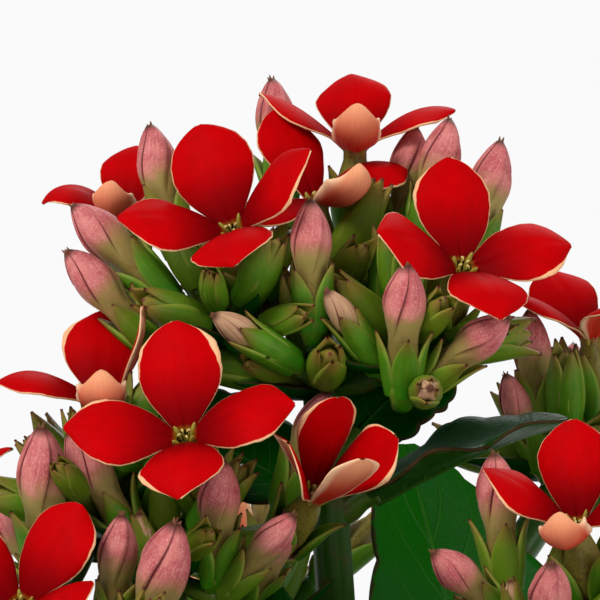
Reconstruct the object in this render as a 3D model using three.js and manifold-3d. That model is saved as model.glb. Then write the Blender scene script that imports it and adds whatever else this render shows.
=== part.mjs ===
// A kalanchoe in a plain nursery pot: one branched, leafy plant whose flower heads
// stand above scalloped leaves. Millimetres, +Z up, front to -Y, pot base on Z = 0.
import * as THREE from "three";
import Module from "manifold-3d";

const wasm = await Module();
wasm.setup();
const { Manifold, Mesh: SolidMesh } = wasm;

const DEGREE = Math.PI / 180;
const CLEARANCE = 0.35; // left between two pieces that touch
const SEED = 4021;

const COLOURS = {
  pot: { color: "#9c4a2c", roughness: 0.75, metalness: 0 },
  soil: { color: "#2c1f17", roughness: 0.95, metalness: 0 },
  foliage: { color: "#1f4a1c", roughness: 0.35, metalness: 0 },
  head: { color: "#6f8a34", roughness: 0.5, metalness: 0 },
  bloom: { color: "#cc0c10", roughness: 0.5, metalness: 0 },
};

const POT = {
  height: 92,
  baseRadius: 36,
  topRadius: 49,
  rimRadius: 52.5,
  rimHeight: 13,
  wall: 1.8,
  foot: 2.5,
  sides: 24,
  drainRadius: 3.5,
  drainAt: 22,
  drains: 4,
};
const SOIL_TOP = 82;
const CROWN = { radius: 8.4, bottom: 70, top: 86, hole: 9.4, holeBottom: 69.5 };

const TUBE_LENGTH = 8; // of an open flower, from its sepals to its mouth
const TUBE_RADIUS = 1.9;
const MOUTH_RADIUS = 1.25;
const PETAL = { length: 10.5, halfWidth: 4.1, thickness: 0.7, rows: 3 };
// How far a petal bends round from its middle to its edge, in radians: the edges of an
// open petal turn down, and those of one that curls in turn up. A curl under 0 curls in,
// and wholly so from 60 degrees.
const BEND = { open: -0.5, shut: 1.6, shutFrom: 60 };
// How wide a petal or leaf is along its length: pairs of place and share of the full width.
const PETAL_OUTLINE = [
  [0, 0.3],
  [0.3, 0.82],
  [0.55, 1],
  [0.8, 0.82],
  [1, 0.1],
];
const LEAF_OUTLINE = [
  [0, 0.45],
  [0.2, 0.94],
  [0.28, 0.8],
  [0.47, 1.04],
  [0.55, 0.85],
  [0.74, 0.83],
  [0.81, 0.58],
  [1, 0.14],
];
const LEAF_FOLD = -0.22; // how far a leaf's edges rise from its midrib
const LEAF_THICKNESS = 0.9;
const BUD_LENGTH = 12.5;
// A bud's own outline above its sepals: pairs of height and radius at size 1.
const BUD_OUTLINE = [
  [5.2, 1.35],
  [9, 2.5],
  [12.5, 0],
];
const SEAT_GAP = 0.45; // between an open flower's tube and the sepals it stands in
const STALK_RADIUS = 1.15; // of a flower's or bud's own stalk
const TUBE_PINCH = 0.86; // how far every second corner of a flower's tube is drawn in
const CORNER_GROWTH = 1.4; // a square's corners move out this much further than its sides

// The stems: the middle of each flat top, and its radius.
const STEMS = [
  { top: [3, -2, 152], radius: 4.9 },
  { top: [-8.2, -9.2, 146], radius: 4.9 },
  { top: [11, -17, 130], radius: 5 },
  { top: [5.8, 16, 148], radius: 4.9 },
  { top: [-24, 4, 134], radius: 2.6 },
  { top: [27, -1, 132], radius: 2.6 },
];

// The point that the front of the plant is seen from.
const EYE = { distance: 500, height: 200 };
// Heads whose flowers and buds have places of their own, each given as seen() reads it.
// root: where the stalk stands on its stem; forks: where it branches. blooms: mouth,
// [azimuth, elevation, roll], size, lift of each petal, curl of each petal. buds: tip, a
// point on the stalk below it, size. A true at the end of a row gives the flower or bud
// its finer form.
const HEADS = [
  {
    name: "head_a",
    root: [4.5, 0.2],
    stem: 0,
    forks: [[2.2, -4, -8.7], [-7.5, -5, -3.5], [10.5, -6, -5.5], [2, 1, -1]],
    blooms: [
      [[-6.7, -10, 7], [-29, 47, 31], 1.06, [42, 48, 44, 45], [25, 40, 72, 40], true],
      [[16.3, -9, 3.3], [20, 46, 1], 1.02, [38, 41, 43, 35], [25, 45, 80, 60], true],
      [[5.5, 8, 15.2], [0, 86, 2], 1, [58, 42, -2, 42], [40, 30, -135, 60]],
      [[1.8, 1, 10], [0, 78, 32], 1, [58, 4, 2, 32], [20, 25, -80, 60]],
      [[-17.6, 5, 8.6], [-10, 80, 0], 0.85, [55, 44, 0, 58], [40, 110, -130, 60]],
    ],
    buds: [
      [[-2.8, 12, 22], [-1.6, 8, 9], 1],
      [[-15.2, -1, 17.4], [-12.4, -3, 6], 1],
      [[-22.7, -5, 9.4], [-14.5, -6, 1.5], 1, true],
      [[-23.2, -8, 4.9], [-15.5, -7, -3.5], 1],
      [[15, 4, 18], [12.2, 2, 6.5], 1],
      [[11.6, 8, 17.2], [9.8, 6, 6], 0.95],
      [[20, 3, 15.8], [17.4, 1, 5], 1],
      [[1.1, -13, 10], [1.2, -11, -1.8], 0.95, true],
      [[10.5, -16, 3.5], [10.2, -12, -8.3], 0.98, true],
      [[20.7, -14, -1.5], [12.6, -10, -8.5], 0.9, true],
      [[-8.7, -17, -1.5], [0.5, -11, -7], 0.78, true],
      [[2.7, -15, 0.9], [7.8, -10, -6.6], 0.78, true],
      [[13, -23, -8.8], [12.4, -13, -9.4], 0.75, true],
      [[8.6, -5, 8.2], [8.4, -4, 0], 0.75],
    ],
  },
  {
    name: "head_b",
    root: [-9.6, -7.2],
    stem: 1,
    forks: [[-13.5, -14, -27], [-20, -12, -22]],
    blooms: [
      [[-11.5, -21, -13.7], [-13, 44, 10], 1.05, [37, 31, 41, 34], [25, 40, 75, 60], true],
      [[-19.8, -11, -10.2], [0, 74, 2], 1, [50, 36, 2, 62], [30, 75, -120, -20]],
      [[-35.5, -6, -20], [-35, 62, 10], 0.95, [45, 45, 45, 45], [40, 40, 40, 40]],
    ],
    buds: [
      [[-25.9, -20, -12.7], [-25.5, -17, -24.5], 1.15, true],
      [[-23, -16, -13.1], [-17.4, -15, -23], 1],
      [[-8, -22, -16], [-8.4, -18, -27], 0.95, true],
      [[-0.6, -22, -21.5], [-7.5, -18, -29.5], 0.8],
      [[-16.5, -19, -20.5], [-13.5, -17, -30], 0.7],
      [[-30.5, -12, -20], [-25, -12, -29], 0.8],
    ],
  },
  {
    name: "head_c",
    root: [1.5, -4.2],
    stem: 0,
    forks: [[-2.5, -10, -33]],
    blooms: [
      [[1.5, -17, -19.4], [28, 38, 0], 0.96, [70, 60, 68, 70], [5, 10, -20, 10], true],
    ],
    buds: [
      [[2.8, -9, -9.2], [-1.6, -8, -20], 0.9],
      [[-1.6, -16, -21.4], [-4.6, -13, -31], 0.8],
      [[-6.8, -14, -25], [-5.4, -12, -33], 0.6],
    ],
  },
  {
    name: "head_d",
    root: [13, -15.1],
    stem: 2,
    forks: [[24, -19, -39]],
    blooms: [
      [[27.6, -21, -22.5], [-24, 61, 10], 0.95, [54, 58, 0, 40], [20, 40, -140, 40], true],
      [[41, -22, -32], [30, 45, 20], 1, [42, 42, 42, 42], [40, 40, 40, 40]],
    ],
    buds: [
      [[19.4, -19, -15.4], [20.4, -18, -27], 0.98, true],
      [[13.3, -24, -25.1], [20.5, -20, -31.5], 0.85],
      [[25.3, -30, -26.3], [24.4, -23, -36], 0.95],
      [[20.7, -25, -27.4], [22.5, -21, -36], 0.6],
      [[34, -28, -28], [29, -22, -37], 0.8],
    ],
  },
  {
    name: "head_e",
    root: [8.1, 15],
    stem: 3,
    forks: [[26.5, 26, -17]],
    blooms: [
      [[29, 27, -3.5], [-15, 76, 40], 0.95, [46, 50, 50, 46], [40, 50, 60, 40]],
      [[40, 38, -12], [110, 45, 0], 1, [44, 44, 44, 44], [40, 40, 40, 40]],
      [[33.5, 46, -17], [165, 30, 30], 0.95, [44, 44, 44, 44], [40, 40, 40, 40]],
    ],
    buds: [
      [[23, 24, -1], [23.6, 24, -13], 0.95],
      [[20.5, 22, -7.5], [24, 24, -16.5], 0.8],
      [[33.5, 12, -14], [29.5, 20, -20], 0.85],
      [[27.5, 40, -4.5], [26.5, 33, -15], 0.8],
      [[26, 16, -12], [26.5, 22, -20], 0.75],
    ],
  },
  {
    name: "head_f",
    root: [-6.8, -11.2],
    stem: 1,
    forks: [[-19, -23, -42]],
    blooms: [
      [[-28, -26, -30.5], [-14, 50, -32], 1, [42, 42, 42, 42], [30, 40, 50, 40]],
      [[-17.5, -41, -47.5], [6, 14, 10], 1, [40, 40, 40, 40], [40, 40, 40, 40]],
    ],
    buds: [
      [[-12.4, -28, -22.3], [-15.6, -24, -34.5], 1.2, true],
      [[-17.8, -23, -21.5], [-19, -22, -33], 0.9],
      [[-33.5, -34, -38], [-26, -27, -41], 0.9],
      [[-21, -33, -30], [-20, -26, -38], 0.6],
    ],
  },
];

// Heads set out by a rule. root and stem: as above; fork: top of the stalk, a true place;
// lean: azimuth and elevation of the head's middle; turn: how far its flowers are turned.
const DOMES = [
  { name: "head_g", root: [-24, 4], stem: 4, fork: [-41, 8, 157], lean: [-100, 62], turn: 20 },
  { name: "head_h", root: [3.5, 17], stem: 3, fork: [-5, 41, 163], lean: [185, 66], turn: 75 },
  { name: "head_k", root: [27, -1], stem: 5, fork: [48, -2, 153], lean: [92, 60], turn: 50 },
  { name: "head_l", root: [9, -18.8], stem: 2, fork: [5, -43, 145], lean: [8, 58], turn: 95 },
];
const DOME = { bloomReach: 19.5, bloomTilt: 48, buds: [[4, 0, 21], [60, 60, 19]] };

// The lower leaves: set spirally, largest and lowest first.
const LEAVES = {
  count: 12,
  turn: 137.5,
  low: 95,
  high: 124,
  reach: 13,
  length: [60, 48],
  width: [48, 38],
  rise: [14, 30],
  droop: [44, 42],
};
// The upper leaves, by stem. height: where it grows; the rest as in leafSolid.
const UPPER_LEAVES = [
  { stem: 5, height: 124, azimuth: -135, rise: 70, droop: 0, length: 56, width: 34, bank: 0 },
  { stem: 1, height: 134, azimuth: -92, rise: 56, droop: 52, length: 38, width: 20, bank: 4 },
  { stem: 3, height: 129, azimuth: -160, rise: 42, droop: 46, length: 42, width: 30, bank: 0 },
  { stem: 4, height: 126, azimuth: -125, rise: 36, droop: 46, length: 40, width: 28, bank: -6 },
  { stem: 5, height: 126, azimuth: 125, rise: 42, droop: 50, length: 42, width: 30, bank: 6 },
];

// The leaves that grow from a flower head's stalk, a pair and one above it.
const STALK_LEAVES = {
  head: "head_a",
  leaves: [
    { base: [3.2, -2.3, 178.6], azimuth: 84, rise: 25, droop: 14, length: 21, width: 15, bank: 8 },
    { base: [2.6, -2.4, 178.6], azimuth: -104, rise: 30, droop: 16, length: 17, width: 14, bank: -40 },
    { base: [3, -2.6, 183], azimuth: 110, rise: 45, droop: 20, length: 14, width: 12, bank: 40 },
  ],
  reach: 4,
};

let randomState = SEED;

// The next seeded random number, from low to high.
function random(low, high) {
  randomState = (randomState * 16807) % 2147483647;
  return low + ((high - low) * randomState) / 2147483647;
}

const vector = (list) => new THREE.Vector3(...list);
const mix = (a, b, t) => a + (b - a) * t;

// The share of full width at a place along an outline.
function widthAt(outline, place) {
  for (let i = 1; i < outline.length; i++) {
    const [from, wide] = outline[i - 1];
    const [to, next] = outline[i];
    if (place <= to) return mix(wide, next, (place - from) / (to - from));
  }
  return outline[outline.length - 1][1];
}

// The three directions of a flower: its axis, and two across it. Azimuth 0 faces the
// front, elevation 90 straight up.
function facing(azimuth, elevation) {
  const a = azimuth * DEGREE;
  const e = elevation * DEGREE;
  const axis = new THREE.Vector3(Math.sin(a) * Math.cos(e), -Math.cos(a) * Math.cos(e), Math.sin(e));
  const up = new THREE.Vector3(-Math.sin(a) * Math.sin(e), Math.cos(a) * Math.sin(e), Math.cos(e));
  return { axis, up, side: new THREE.Vector3().crossVectors(axis, up) };
}

// A closed solid from points and triangles, with its faces turned outwards.
function closedSolid(points, faces) {
  let volume = 0;
  for (const [a, b, c] of faces) {
    volume += points[a].dot(new THREE.Vector3().crossVectors(points[b], points[c]));
  }
  const turned = volume < 0 ? faces.map(([a, b, c]) => [a, c, b]) : faces;
  return new Manifold(
    new SolidMesh({
      numProp: 3,
      vertProperties: new Float32Array(points.flatMap((p) => [p.x, p.y, p.z])),
      triVerts: new Uint32Array(turned.flat()),
    }),
  );
}

// The points and faces of a closed body through rings of points, each as long as the
// others or a single point. open says which ring has no faces after it.
function ringFaces(rings, open = () => false) {
  const points = rings.flat();
  const sides = Math.max(...rings.map((ring) => ring.length));
  const faces = [];
  let start = 0;
  for (let i = 0; i + 1 < rings.length; i++) {
    const next = start + rings[i].length;
    for (let j = 0; j < sides && !open(i); j++) {
      const k = (j + 1) % sides;
      if (rings[i].length === 1) faces.push([start, next + k, next + j]);
      else if (rings[i + 1].length === 1) faces.push([start + j, start + k, next]);
      else faces.push([start + j, start + k, next + k], [start + j, next + k, next + j]);
    }
    start = next;
  }
  for (let j = 1; j + 1 < sides; j++) {
    if (rings[0].length > 1) faces.push([0, j + 1, j]);
    if (rings[rings.length - 1].length > 1) faces.push([start, start + j, start + j + 1]);
  }
  return { points, faces };
}

function ringSolid(rings) {
  const { points, faces } = ringFaces(rings);
  return closedSolid(points, faces);
}

// A round rod along a path, with a radius at each of its points; radius 0 is a tip.
function rod(path, radii, sides, grow = 0) {
  const points = path.map((p) => p.clone());
  const last = points.length - 1;
  if (grow) {
    const back = points[0].clone().sub(points[1]).setLength(grow);
    const ahead = points[last].clone().sub(points[last - 1]).setLength(grow);
    points[0].add(back);
    points[last].add(ahead);
  }
  let across = null;
  const rings = points.map((centre, i) => {
    const before = points[Math.max(i - 1, 0)];
    const after = points[Math.min(i + 1, last)];
    const along = after.clone().sub(before).normalize();
    if (!across) {
      across = new THREE.Vector3(0.31, -0.83, 0.17).cross(along).normalize();
    }
    across.addScaledVector(along, -across.dot(along)).normalize();
    const other = new THREE.Vector3().crossVectors(along, across);
    const radius = radii[i] + grow;
    if (radii[i] === 0 && !grow) return [centre];
    return Array.from({ length: sides }, (_, j) => {
      const angle = (2 * Math.PI * (j + 0.5)) / sides;
      return centre
        .clone()
        .addScaledVector(across, radius * Math.cos(angle))
        .addScaledVector(other, radius * Math.sin(angle));
    });
  });
  return ringSolid(rings);
}

// A blade over a grid of points, rows along it and columns across it, with a thickness
// for each row. Both faces are split into triangles alike.
function blade(grid, thickness) {
  const rows = grid.length;
  const columns = grid[0].length;
  const faceOf = (side) =>
    grid.flatMap((row, i) =>
      row.map((point, j) => {
        const along = grid[Math.min(i + 1, rows - 1)][j].clone().sub(grid[Math.max(i - 1, 0)][j]);
        const across = row[Math.min(j + 1, columns - 1)].clone().sub(row[Math.max(j - 1, 0)]);
        const normal = new THREE.Vector3().crossVectors(across, along).normalize();
        return point.clone().addScaledVector(normal, (side * thickness[i]) / 2);
      }),
    );
  const points = [...faceOf(1), ...faceOf(-1)];
  const under = rows * columns;
  const at = (i, j) => i * columns + j;
  const faces = [];
  for (let i = 0; i + 1 < rows; i++) {
    for (let j = 0; j + 1 < columns; j++) {
      const [a, b, c, d] = [at(i, j), at(i, j + 1), at(i + 1, j + 1), at(i + 1, j)];
      const halves = j < (columns - 1) / 2 ? [[a, b, c], [a, c, d]] : [[a, b, d], [b, c, d]];
      for (const [p, q, r] of halves) {
        faces.push([p, q, r], [p + under, r + under, q + under]);
      }
    }
  }
  const rim = [];
  for (let j = 0; j + 1 < columns; j++) rim.push(at(0, j));
  for (let i = 0; i + 1 < rows; i++) rim.push(at(i, columns - 1));
  for (let j = columns - 1; j > 0; j--) rim.push(at(rows - 1, j));
  for (let i = rows - 1; i > 0; i--) rim.push(at(i, 0));
  rim.forEach((a, i) => {
    const b = rim[(i + 1) % rim.length];
    faces.push([a, a + under, b], [b, a + under, b + under]);
  });
  return closedSolid(points, faces);
}

const nearest = (places, point) =>
  places.reduce((best, p) => (p.distanceTo(point) < best.distanceTo(point) ? p : best));

// A direction across a flower's axis, at an angle round it.
const around = ({ up, side }, angle) =>
  up.clone().multiplyScalar(Math.cos(angle * DEGREE)).addScaledVector(side, Math.sin(angle * DEGREE));

// A flower's stalk with its four sepals. Above them it ends flat, as the seat of an open
// flower, or goes on as an unopened bud. sepals: inner radius, thickness, flare, height.
function stalkSolid(base, frame, roll, fork, { size, seat, above, sepals, full }, grow) {
  const at = (height, out, reach) =>
    base.clone().addScaledVector(frame.axis, height).addScaledVector(out, reach);
  const corners = [0, 1, 2, 3].map((k) => around(frame, roll + 45 + 90 * k));
  const square = (height, radius) =>
    corners.map((out) => at(height, out, radius + grow * CORNER_GROWTH));
  const rings = [];
  for (const [height, radius] of above) {
    const tip = [at(height * size + grow * 3, corners[0], 0)];
    rings.unshift(radius ? square(height * size, radius * size) : tip);
  }
  const top = rings.length;
  rings.push(square(seat + (above.length ? 0 : grow), (above.length ? 1.75 : 2.75) * size));
  rings.push(square(seat - 1.1 * size - grow, (above.length ? 1.6 : 2.4) * size));
  const under = base.clone().addScaledVector(frame.axis, seat - 2.6 * size);
  const path = [under, fork];
  const across = corners[0].clone();
  path.forEach((centre, i) => {
    const before = path[Math.max(i - 1, 0)];
    const along = before.clone().sub(path[Math.min(i + 1, path.length - 1)]).normalize();
    across.addScaledVector(along, -across.dot(along)).normalize();
    const other = new THREE.Vector3().crossVectors(along, across);
    const radius = STALK_RADIUS + grow * CORNER_GROWTH;
    rings.push(
      [0, 1, 2, 3].map((k) =>
        centre
          .clone()
          .addScaledVector(across, radius * Math.cos((k * Math.PI) / 2))
          .addScaledVector(other, radius * Math.sin((k * Math.PI) / 2)),
      ),
    );
  });
  const { points, faces } = ringFaces(rings, (ring) => ring === top);
  const first = rings.slice(0, top).flat().length;
  for (let k = 0; k < 4; k++) {
    const next = (k + 1) % 4;
    const out = around(frame, roll + 90 + 90 * k);
    const sideways = new THREE.Vector3().crossVectors(frame.axis, out);
    const [inner, thick, flare, height] = sepals;
    const start = points.length;
    const row = (reach, half, up) =>
      [-half, half].map((offset) => at(up, out, reach).addScaledVector(sideways, offset));
    const tip = at(height * size + grow * 5, out, (inner + flare) * size);
    // The base runs along the seat's edge, then along the edge of the ring below it.
    const foot = [first + k, first + next, first + 4 + next, first + 4 + k];
    if (full || grow) {
      const middle = 2 * size;
      points.push(...row(inner * size - 2 * grow, 1.2 * size + grow, middle));
      points.push(...row((inner + thick) * size + grow, 0.45 * size + grow, middle - 0.3).reverse());
      for (let j = 0; j < 4; j++) {
        const [a, b] = [foot[j], foot[(j + 1) % 4]];
        const [c, d] = [start + ((j + 1) % 4), start + j];
        faces.push([a, b, c], [a, c, d], [d, c, start + 4]);
      }
      points.push(tip);
    } else {
      for (let j = 0; j < 4; j++) faces.push([foot[j], foot[(j + 1) % 4], start]);
      points.push(tip);
    }
  }
  return closedSolid(points, faces);
}

// The stalk and the sepals that carry an open flower.
function calyx(bloom, forks, grow) {
  const frame = facing(bloom.azimuth, bloom.elevation);
  const base = bloom.mouth.clone().addScaledVector(frame.axis, -TUBE_LENGTH * bloom.size);
  const form = { size: 1, seat: -SEAT_GAP, above: [], sepals: [2.75, 0.75, 0.8, 5.8], full: bloom.near };
  // The sepals stand between the petals.
  return stalkSolid(base, frame, bloom.roll + 45, nearest(forks, base), form, grow);
}

// One unopened bud on its stalk, fused with its sepals.
function bud(item, forks, grow) {
  const frame = facing(item.azimuth, item.elevation);
  const { size } = item;
  const base = item.tip.clone().addScaledVector(frame.axis, -BUD_LENGTH * size);
  const full = item.near;
  const form = { size, seat: 0.6 * size, above: BUD_OUTLINE, sepals: [1.85, 0.75, 0.9, 5.8], full };
  return stalkSolid(base, frame, item.roll, nearest(forks, base), form, grow);
}

// The rows of points of one petal beyond the mouth. lift: how steeply it leaves the
// mouth; curl: how far it bends back by its tip. Each row is kept in its own quarter.
function petalRows(bloom, frame, index, grow) {
  const { mouth, size } = bloom;
  const lift = bloom.lifts[index];
  const curl = bloom.curls[index];
  const out = around(frame, bloom.roll + 90 * index);
  const across = new THREE.Vector3().crossVectors(frame.axis, out);
  const length = PETAL.length * size + grow;
  const inwards = Math.min(1, Math.max(0, -curl / BEND.shutFrom));
  const bend = mix(BEND.open, BEND.shut, inwards);
  const grid = [];
  let reach = MOUTH_RADIUS * 0.7;
  let height = 0;
  for (let i = 1; i <= PETAL.rows; i++) {
    const place = i / PETAL.rows;
    const middle = (lift - curl * (place - 0.5 / PETAL.rows) ** 2) * DEGREE;
    reach += (Math.cos(middle) * length) / PETAL.rows;
    height += (Math.sin(middle) * length) / PETAL.rows;
    const slope = (lift - curl * place * place) * DEGREE;
    const normal = frame.axis
      .clone()
      .multiplyScalar(Math.cos(slope))
      .addScaledVector(out, -Math.sin(slope));
    const turn = bend * Math.min(1, 2.5 * place);
    const sideways = Math.sin(turn) / turn;
    const rise = (1 - Math.cos(turn)) / turn;
    const wide = PETAL.halfWidth * size * widthAt(PETAL_OUTLINE, place) * 0.97 + grow;
    const inward = sideways + Math.max(0, rise * Math.sin(slope));
    const half = Math.min(wide, (reach - 0.35 + 2 * grow) / inward);
    const face = (side) =>
      [-1, 0, 1].map((edge) =>
        mouth
          .clone()
          .addScaledVector(out, reach)
          .addScaledVector(frame.axis, height)
          .addScaledVector(across, edge * half * sideways)
          .addScaledVector(normal, Math.abs(edge) * half * rise)
          .addScaledVector(normal, side * (PETAL.thickness / 2 + grow)),
      );
    grid.push([face(1), face(-1)]);
  }
  return grid;
}

// An open flower in one mesh: a tube of eight sides, and a petal on every two of them.
function bloomSolid(bloom, grow) {
  const frame = facing(bloom.azimuth, bloom.elevation);
  const { size } = bloom;
  // Every second corner of a ring is drawn in: the odd or the even ones.
  const ring = (height, radius, narrow) =>
    Array.from({ length: 8 }, (_, k) => {
      const reach = (radius + grow) * (k % 2 === narrow ? TUBE_PINCH : 1);
      return bloom.mouth
        .clone()
        .addScaledVector(frame.axis, height)
        .addScaledVector(around(frame, bloom.roll - 45 + 45 * k), reach);
    });
  const points = [
    ...ring(0.35 + grow, MOUTH_RADIUS, 1),
    ...ring(-0.45 - grow, MOUTH_RADIUS, 1),
    ...ring(-TUBE_LENGTH * size - grow, TUBE_RADIUS, 0),
    bloom.mouth.clone().addScaledVector(frame.axis, -1),
  ];
  const faces = [];
  for (let k = 0; k < 8; k++) {
    const next = (k + 1) % 8;
    faces.push([k, next, 24]);
    faces.push([8 + k, 16 + k, 8 + next], [8 + next, 16 + k, 16 + next]);
    if (k > 0 && k < 7) faces.push([16, 16 + k + 1, 16 + k]);
  }
  for (let index = 0; index < 4; index++) {
    const grid = petalRows(bloom, frame, index, grow);
    const root = [0, 1, 2].map((j) => (2 * index + j) % 8);
    let above = root;
    let below = root.map((j) => j + 8);
    for (const [top, under] of grid) {
      const nextAbove = top.map((_, j) => points.length + j);
      const nextBelow = top.map((_, j) => points.length + 3 + j);
      points.push(...top, ...under);
      for (const [a, b] of [[0, 1], [1, 2]]) {
        const outer = a === 0;
        faces.push(...strip(above[a], above[b], nextAbove[b], nextAbove[a], outer));
        faces.push(...strip(below[b], below[a], nextBelow[a], nextBelow[b], !outer));
      }
      faces.push(...strip(below[0], above[0], nextAbove[0], nextBelow[0], true));
      faces.push(...strip(above[2], below[2], nextBelow[2], nextAbove[2], true));
      above = nextAbove;
      below = nextBelow;
    }
    faces.push(...strip(above[0], above[1], below[1], below[0], true));
    faces.push(...strip(above[1], above[2], below[2], below[1], true));
  }
  return closedSolid(points, faces);
}

// The two triangles of a four-cornered face, split along one diagonal or the other.
const strip = (a, b, c, d, first) => (first ? [[a, c, b], [a, d, c]] : [[a, d, b], [b, d, c]]);

// A broad leaf with a scalloped edge, one body with its stalk. base: where it leaves the
// stem; rise: how steeply it goes out; droop: how far it bends down by its tip; bank:
// its tilt to one side; reach: the length of its stalk.
function leafSolid({ base, azimuth, rise, droop, length, width, reach, bank }, grow = 0) {
  const out = facing(azimuth, 0).axis;
  const up = new THREE.Vector3(0, 0, 1);
  const level = new THREE.Vector3().crossVectors(up, out);
  const grid = [];
  const thickness = [];
  const centre = base.clone();
  let place = 0;
  const addRow = (along, slope, half, fold, thick) => {
    const step = out.clone().multiplyScalar(Math.cos(slope)).addScaledVector(up, Math.sin(slope));
    centre.addScaledVector(step, along);
    const across = level.clone().applyAxisAngle(step, bank * DEGREE);
    const normal = new THREE.Vector3().crossVectors(step, across);
    grid.push(
      [-1, 0, 1].map((edge) =>
        centre
          .clone()
          .addScaledVector(across, edge * (half + grow))
          .addScaledVector(normal, Math.abs(edge) * half * fold),
      ),
    );
    thickness.push(thick + 2 * grow);
  };
  const start = rise * DEGREE;
  addRow(0, start + 0.2, 1.3, 0, 2.2);
  addRow(reach * 0.8, start + 0.1, 1.2, 0, 2);
  for (const [next, share] of LEAF_OUTLINE) {
    const middle = (rise - droop * ((place + next) / 2) ** 2) * DEGREE;
    const along = next === 0 ? reach * 0.3 : (next - place) * length;
    place = next;
    addRow(along, middle, (width / 2) * share, -LEAF_FOLD, LEAF_THICKNESS);
  }
  return blade(grid, thickness);
}

// The pot: a turned wall with a rim and a foot, and drain holes off its middle.
function potSolid() {
  const { baseRadius, topRadius, rimRadius, height, rimHeight, wall, foot } = POT;
  const profile = [
    [0, 0],
    [baseRadius - 1.5, 0],
    [baseRadius, 1.5],
    [topRadius - 1, height - rimHeight],
    [rimRadius - 0.8, height - rimHeight + 1],
    [rimRadius, height - rimHeight + 2],
    [rimRadius, height - 1.2],
    [rimRadius - 1.2, height],
    [topRadius - 0.4, height - 0.8],
    [topRadius - wall, height - rimHeight],
    [baseRadius - wall, foot],
    [0, foot],
  ];
  let pot = turned(profile, POT.sides);
  for (let i = 0; i < POT.drains; i++) {
    const angle = ((i + 0.5) * 2 * Math.PI) / POT.drains;
    const middle = [POT.drainAt * Math.cos(angle), POT.drainAt * Math.sin(angle)];
    pot = pot.subtract(drill(middle, POT.drainRadius, -1, foot + 1, 8));
  }
  return pot;
}

// A turned solid from a profile of [radius, height] that starts and ends on the axis.
function turned(profile, sides, [x, y] = [0, 0]) {
  const rings = profile.map(([radius, height]) => {
    if (radius === 0) return [new THREE.Vector3(x, y, height)];
    return Array.from({ length: sides }, (_, j) => {
      const angle = (2 * Math.PI * j) / sides;
      return new THREE.Vector3(x + radius * Math.cos(angle), y + radius * Math.sin(angle), height);
    });
  });
  return ringSolid(rings);
}

// What an upright round hole takes away.
function drill(middle, radius, low, high, sides) {
  return turned([[0, low], [radius, low], [radius, high], [0, high]], sides, middle);
}

// The soil: fills the pot to just under its rim, with a plain hole for the plant.
function soilSolid() {
  const { baseRadius, topRadius, wall, foot, height, rimHeight } = POT;
  const inner = (z) =>
    mix(baseRadius - wall, topRadius - wall, (z - foot) / (height - rimHeight - foot)) - CLEARANCE;
  const shoulder = height - rimHeight;
  const profile = [
    [0, foot + CLEARANCE],
    [inner(foot) - 0.2, foot + CLEARANCE],
    [inner(shoulder) - 0.2, shoulder],
    [inner(shoulder) - 0.1, SOIL_TOP - 1],
    [inner(shoulder) - 5, SOIL_TOP],
    [20, SOIL_TOP + 0.8],
    [0, SOIL_TOP],
  ];
  const hole = drill([0, 0], CROWN.hole, CROWN.holeBottom, SOIL_TOP + 10, 12);
  return turned(profile, 20).subtract(hole);
}

// The true place of a thing seen from the EYE: its true depth behind the pot's middle, and
// how far across and above the EYE it looks to be, read in the upright plane at depth 0.
function seen([across, depth, up]) {
  const spread = 1 + depth / EYE.distance;
  return new THREE.Vector3(across * spread, depth, EYE.height + up * spread);
}

// The azimuth and elevation of a direction.
function aimOf(direction) {
  const { x, y, z } = direction.clone().normalize();
  return { azimuth: Math.atan2(x, -y) / DEGREE, elevation: Math.asin(z) / DEGREE };
}

const BUD_TURN = 40; // how far each bud of a head is turned beyond the one before

// Reads a head's rows into named values.
function readHead({ forks, blooms, buds, ...head }) {
  return {
    ...head,
    forks: forks.map(seen),
    blooms: blooms.map(([mouth, pose, size, lifts, curls, near = false]) => {
      const [azimuth, elevation, roll] = pose;
      return { mouth: seen(mouth), azimuth, elevation, roll, size, lifts, curls, near };
    }),
    buds: buds.map(([tip, below, size, near = false], i) => {
      const aim = aimOf(seen(tip).sub(seen(below)));
      return { tip: seen(tip), ...aim, roll: BUD_TURN * i, size, near };
    }),
  };
}

// The flowers and buds of a head set out by a rule: a ring of open flowers round its
// middle, and rings of buds between them.
function domeHead({ fork, lean, turn, ...head }) {
  const middle = facing(...lean);
  const towards = (tilt, around) => {
    const t = tilt * DEGREE;
    const a = (turn + around) * DEGREE;
    return middle.axis
      .clone()
      .multiplyScalar(Math.cos(t))
      .addScaledVector(middle.up, Math.sin(t) * Math.cos(a))
      .addScaledVector(middle.side, Math.sin(t) * Math.sin(a));
  };
  const at = (direction, reach) => vector(fork).addScaledVector(direction, reach);
  const blooms = [];
  const buds = [];
  for (let i = 0; i < 3; i++) {
    const direction = towards(DOME.bloomTilt, 120 * i);
    const mouth = at(direction, DOME.bloomReach);
    const lifts = Array.from({ length: 4 }, () => random(36, 50));
    const curls = Array.from({ length: 4 }, () => random(30, 65));
    const roll = random(0, 90);
    const size = random(0.92, 1);
    blooms.push({ mouth, ...aimOf(direction), roll, size, lifts, curls, near: false });
  }
  for (const [tilt, around, reach] of DOME.buds) {
    const copies = tilt < 10 ? 1 : 3;
    for (let i = 0; i < copies; i++) {
      const direction = towards(tilt + random(-4, 4), around + 120 * i);
      const size = reach / 22 + random(-0.08, 0.02);
      const roll = BUD_TURN * buds.length;
      buds.push({ tip: at(direction, reach), ...aimOf(direction), roll, size, near: false });
    }
  }
  return { ...head, forks: [vector(fork)], blooms, buds };
}

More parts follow.
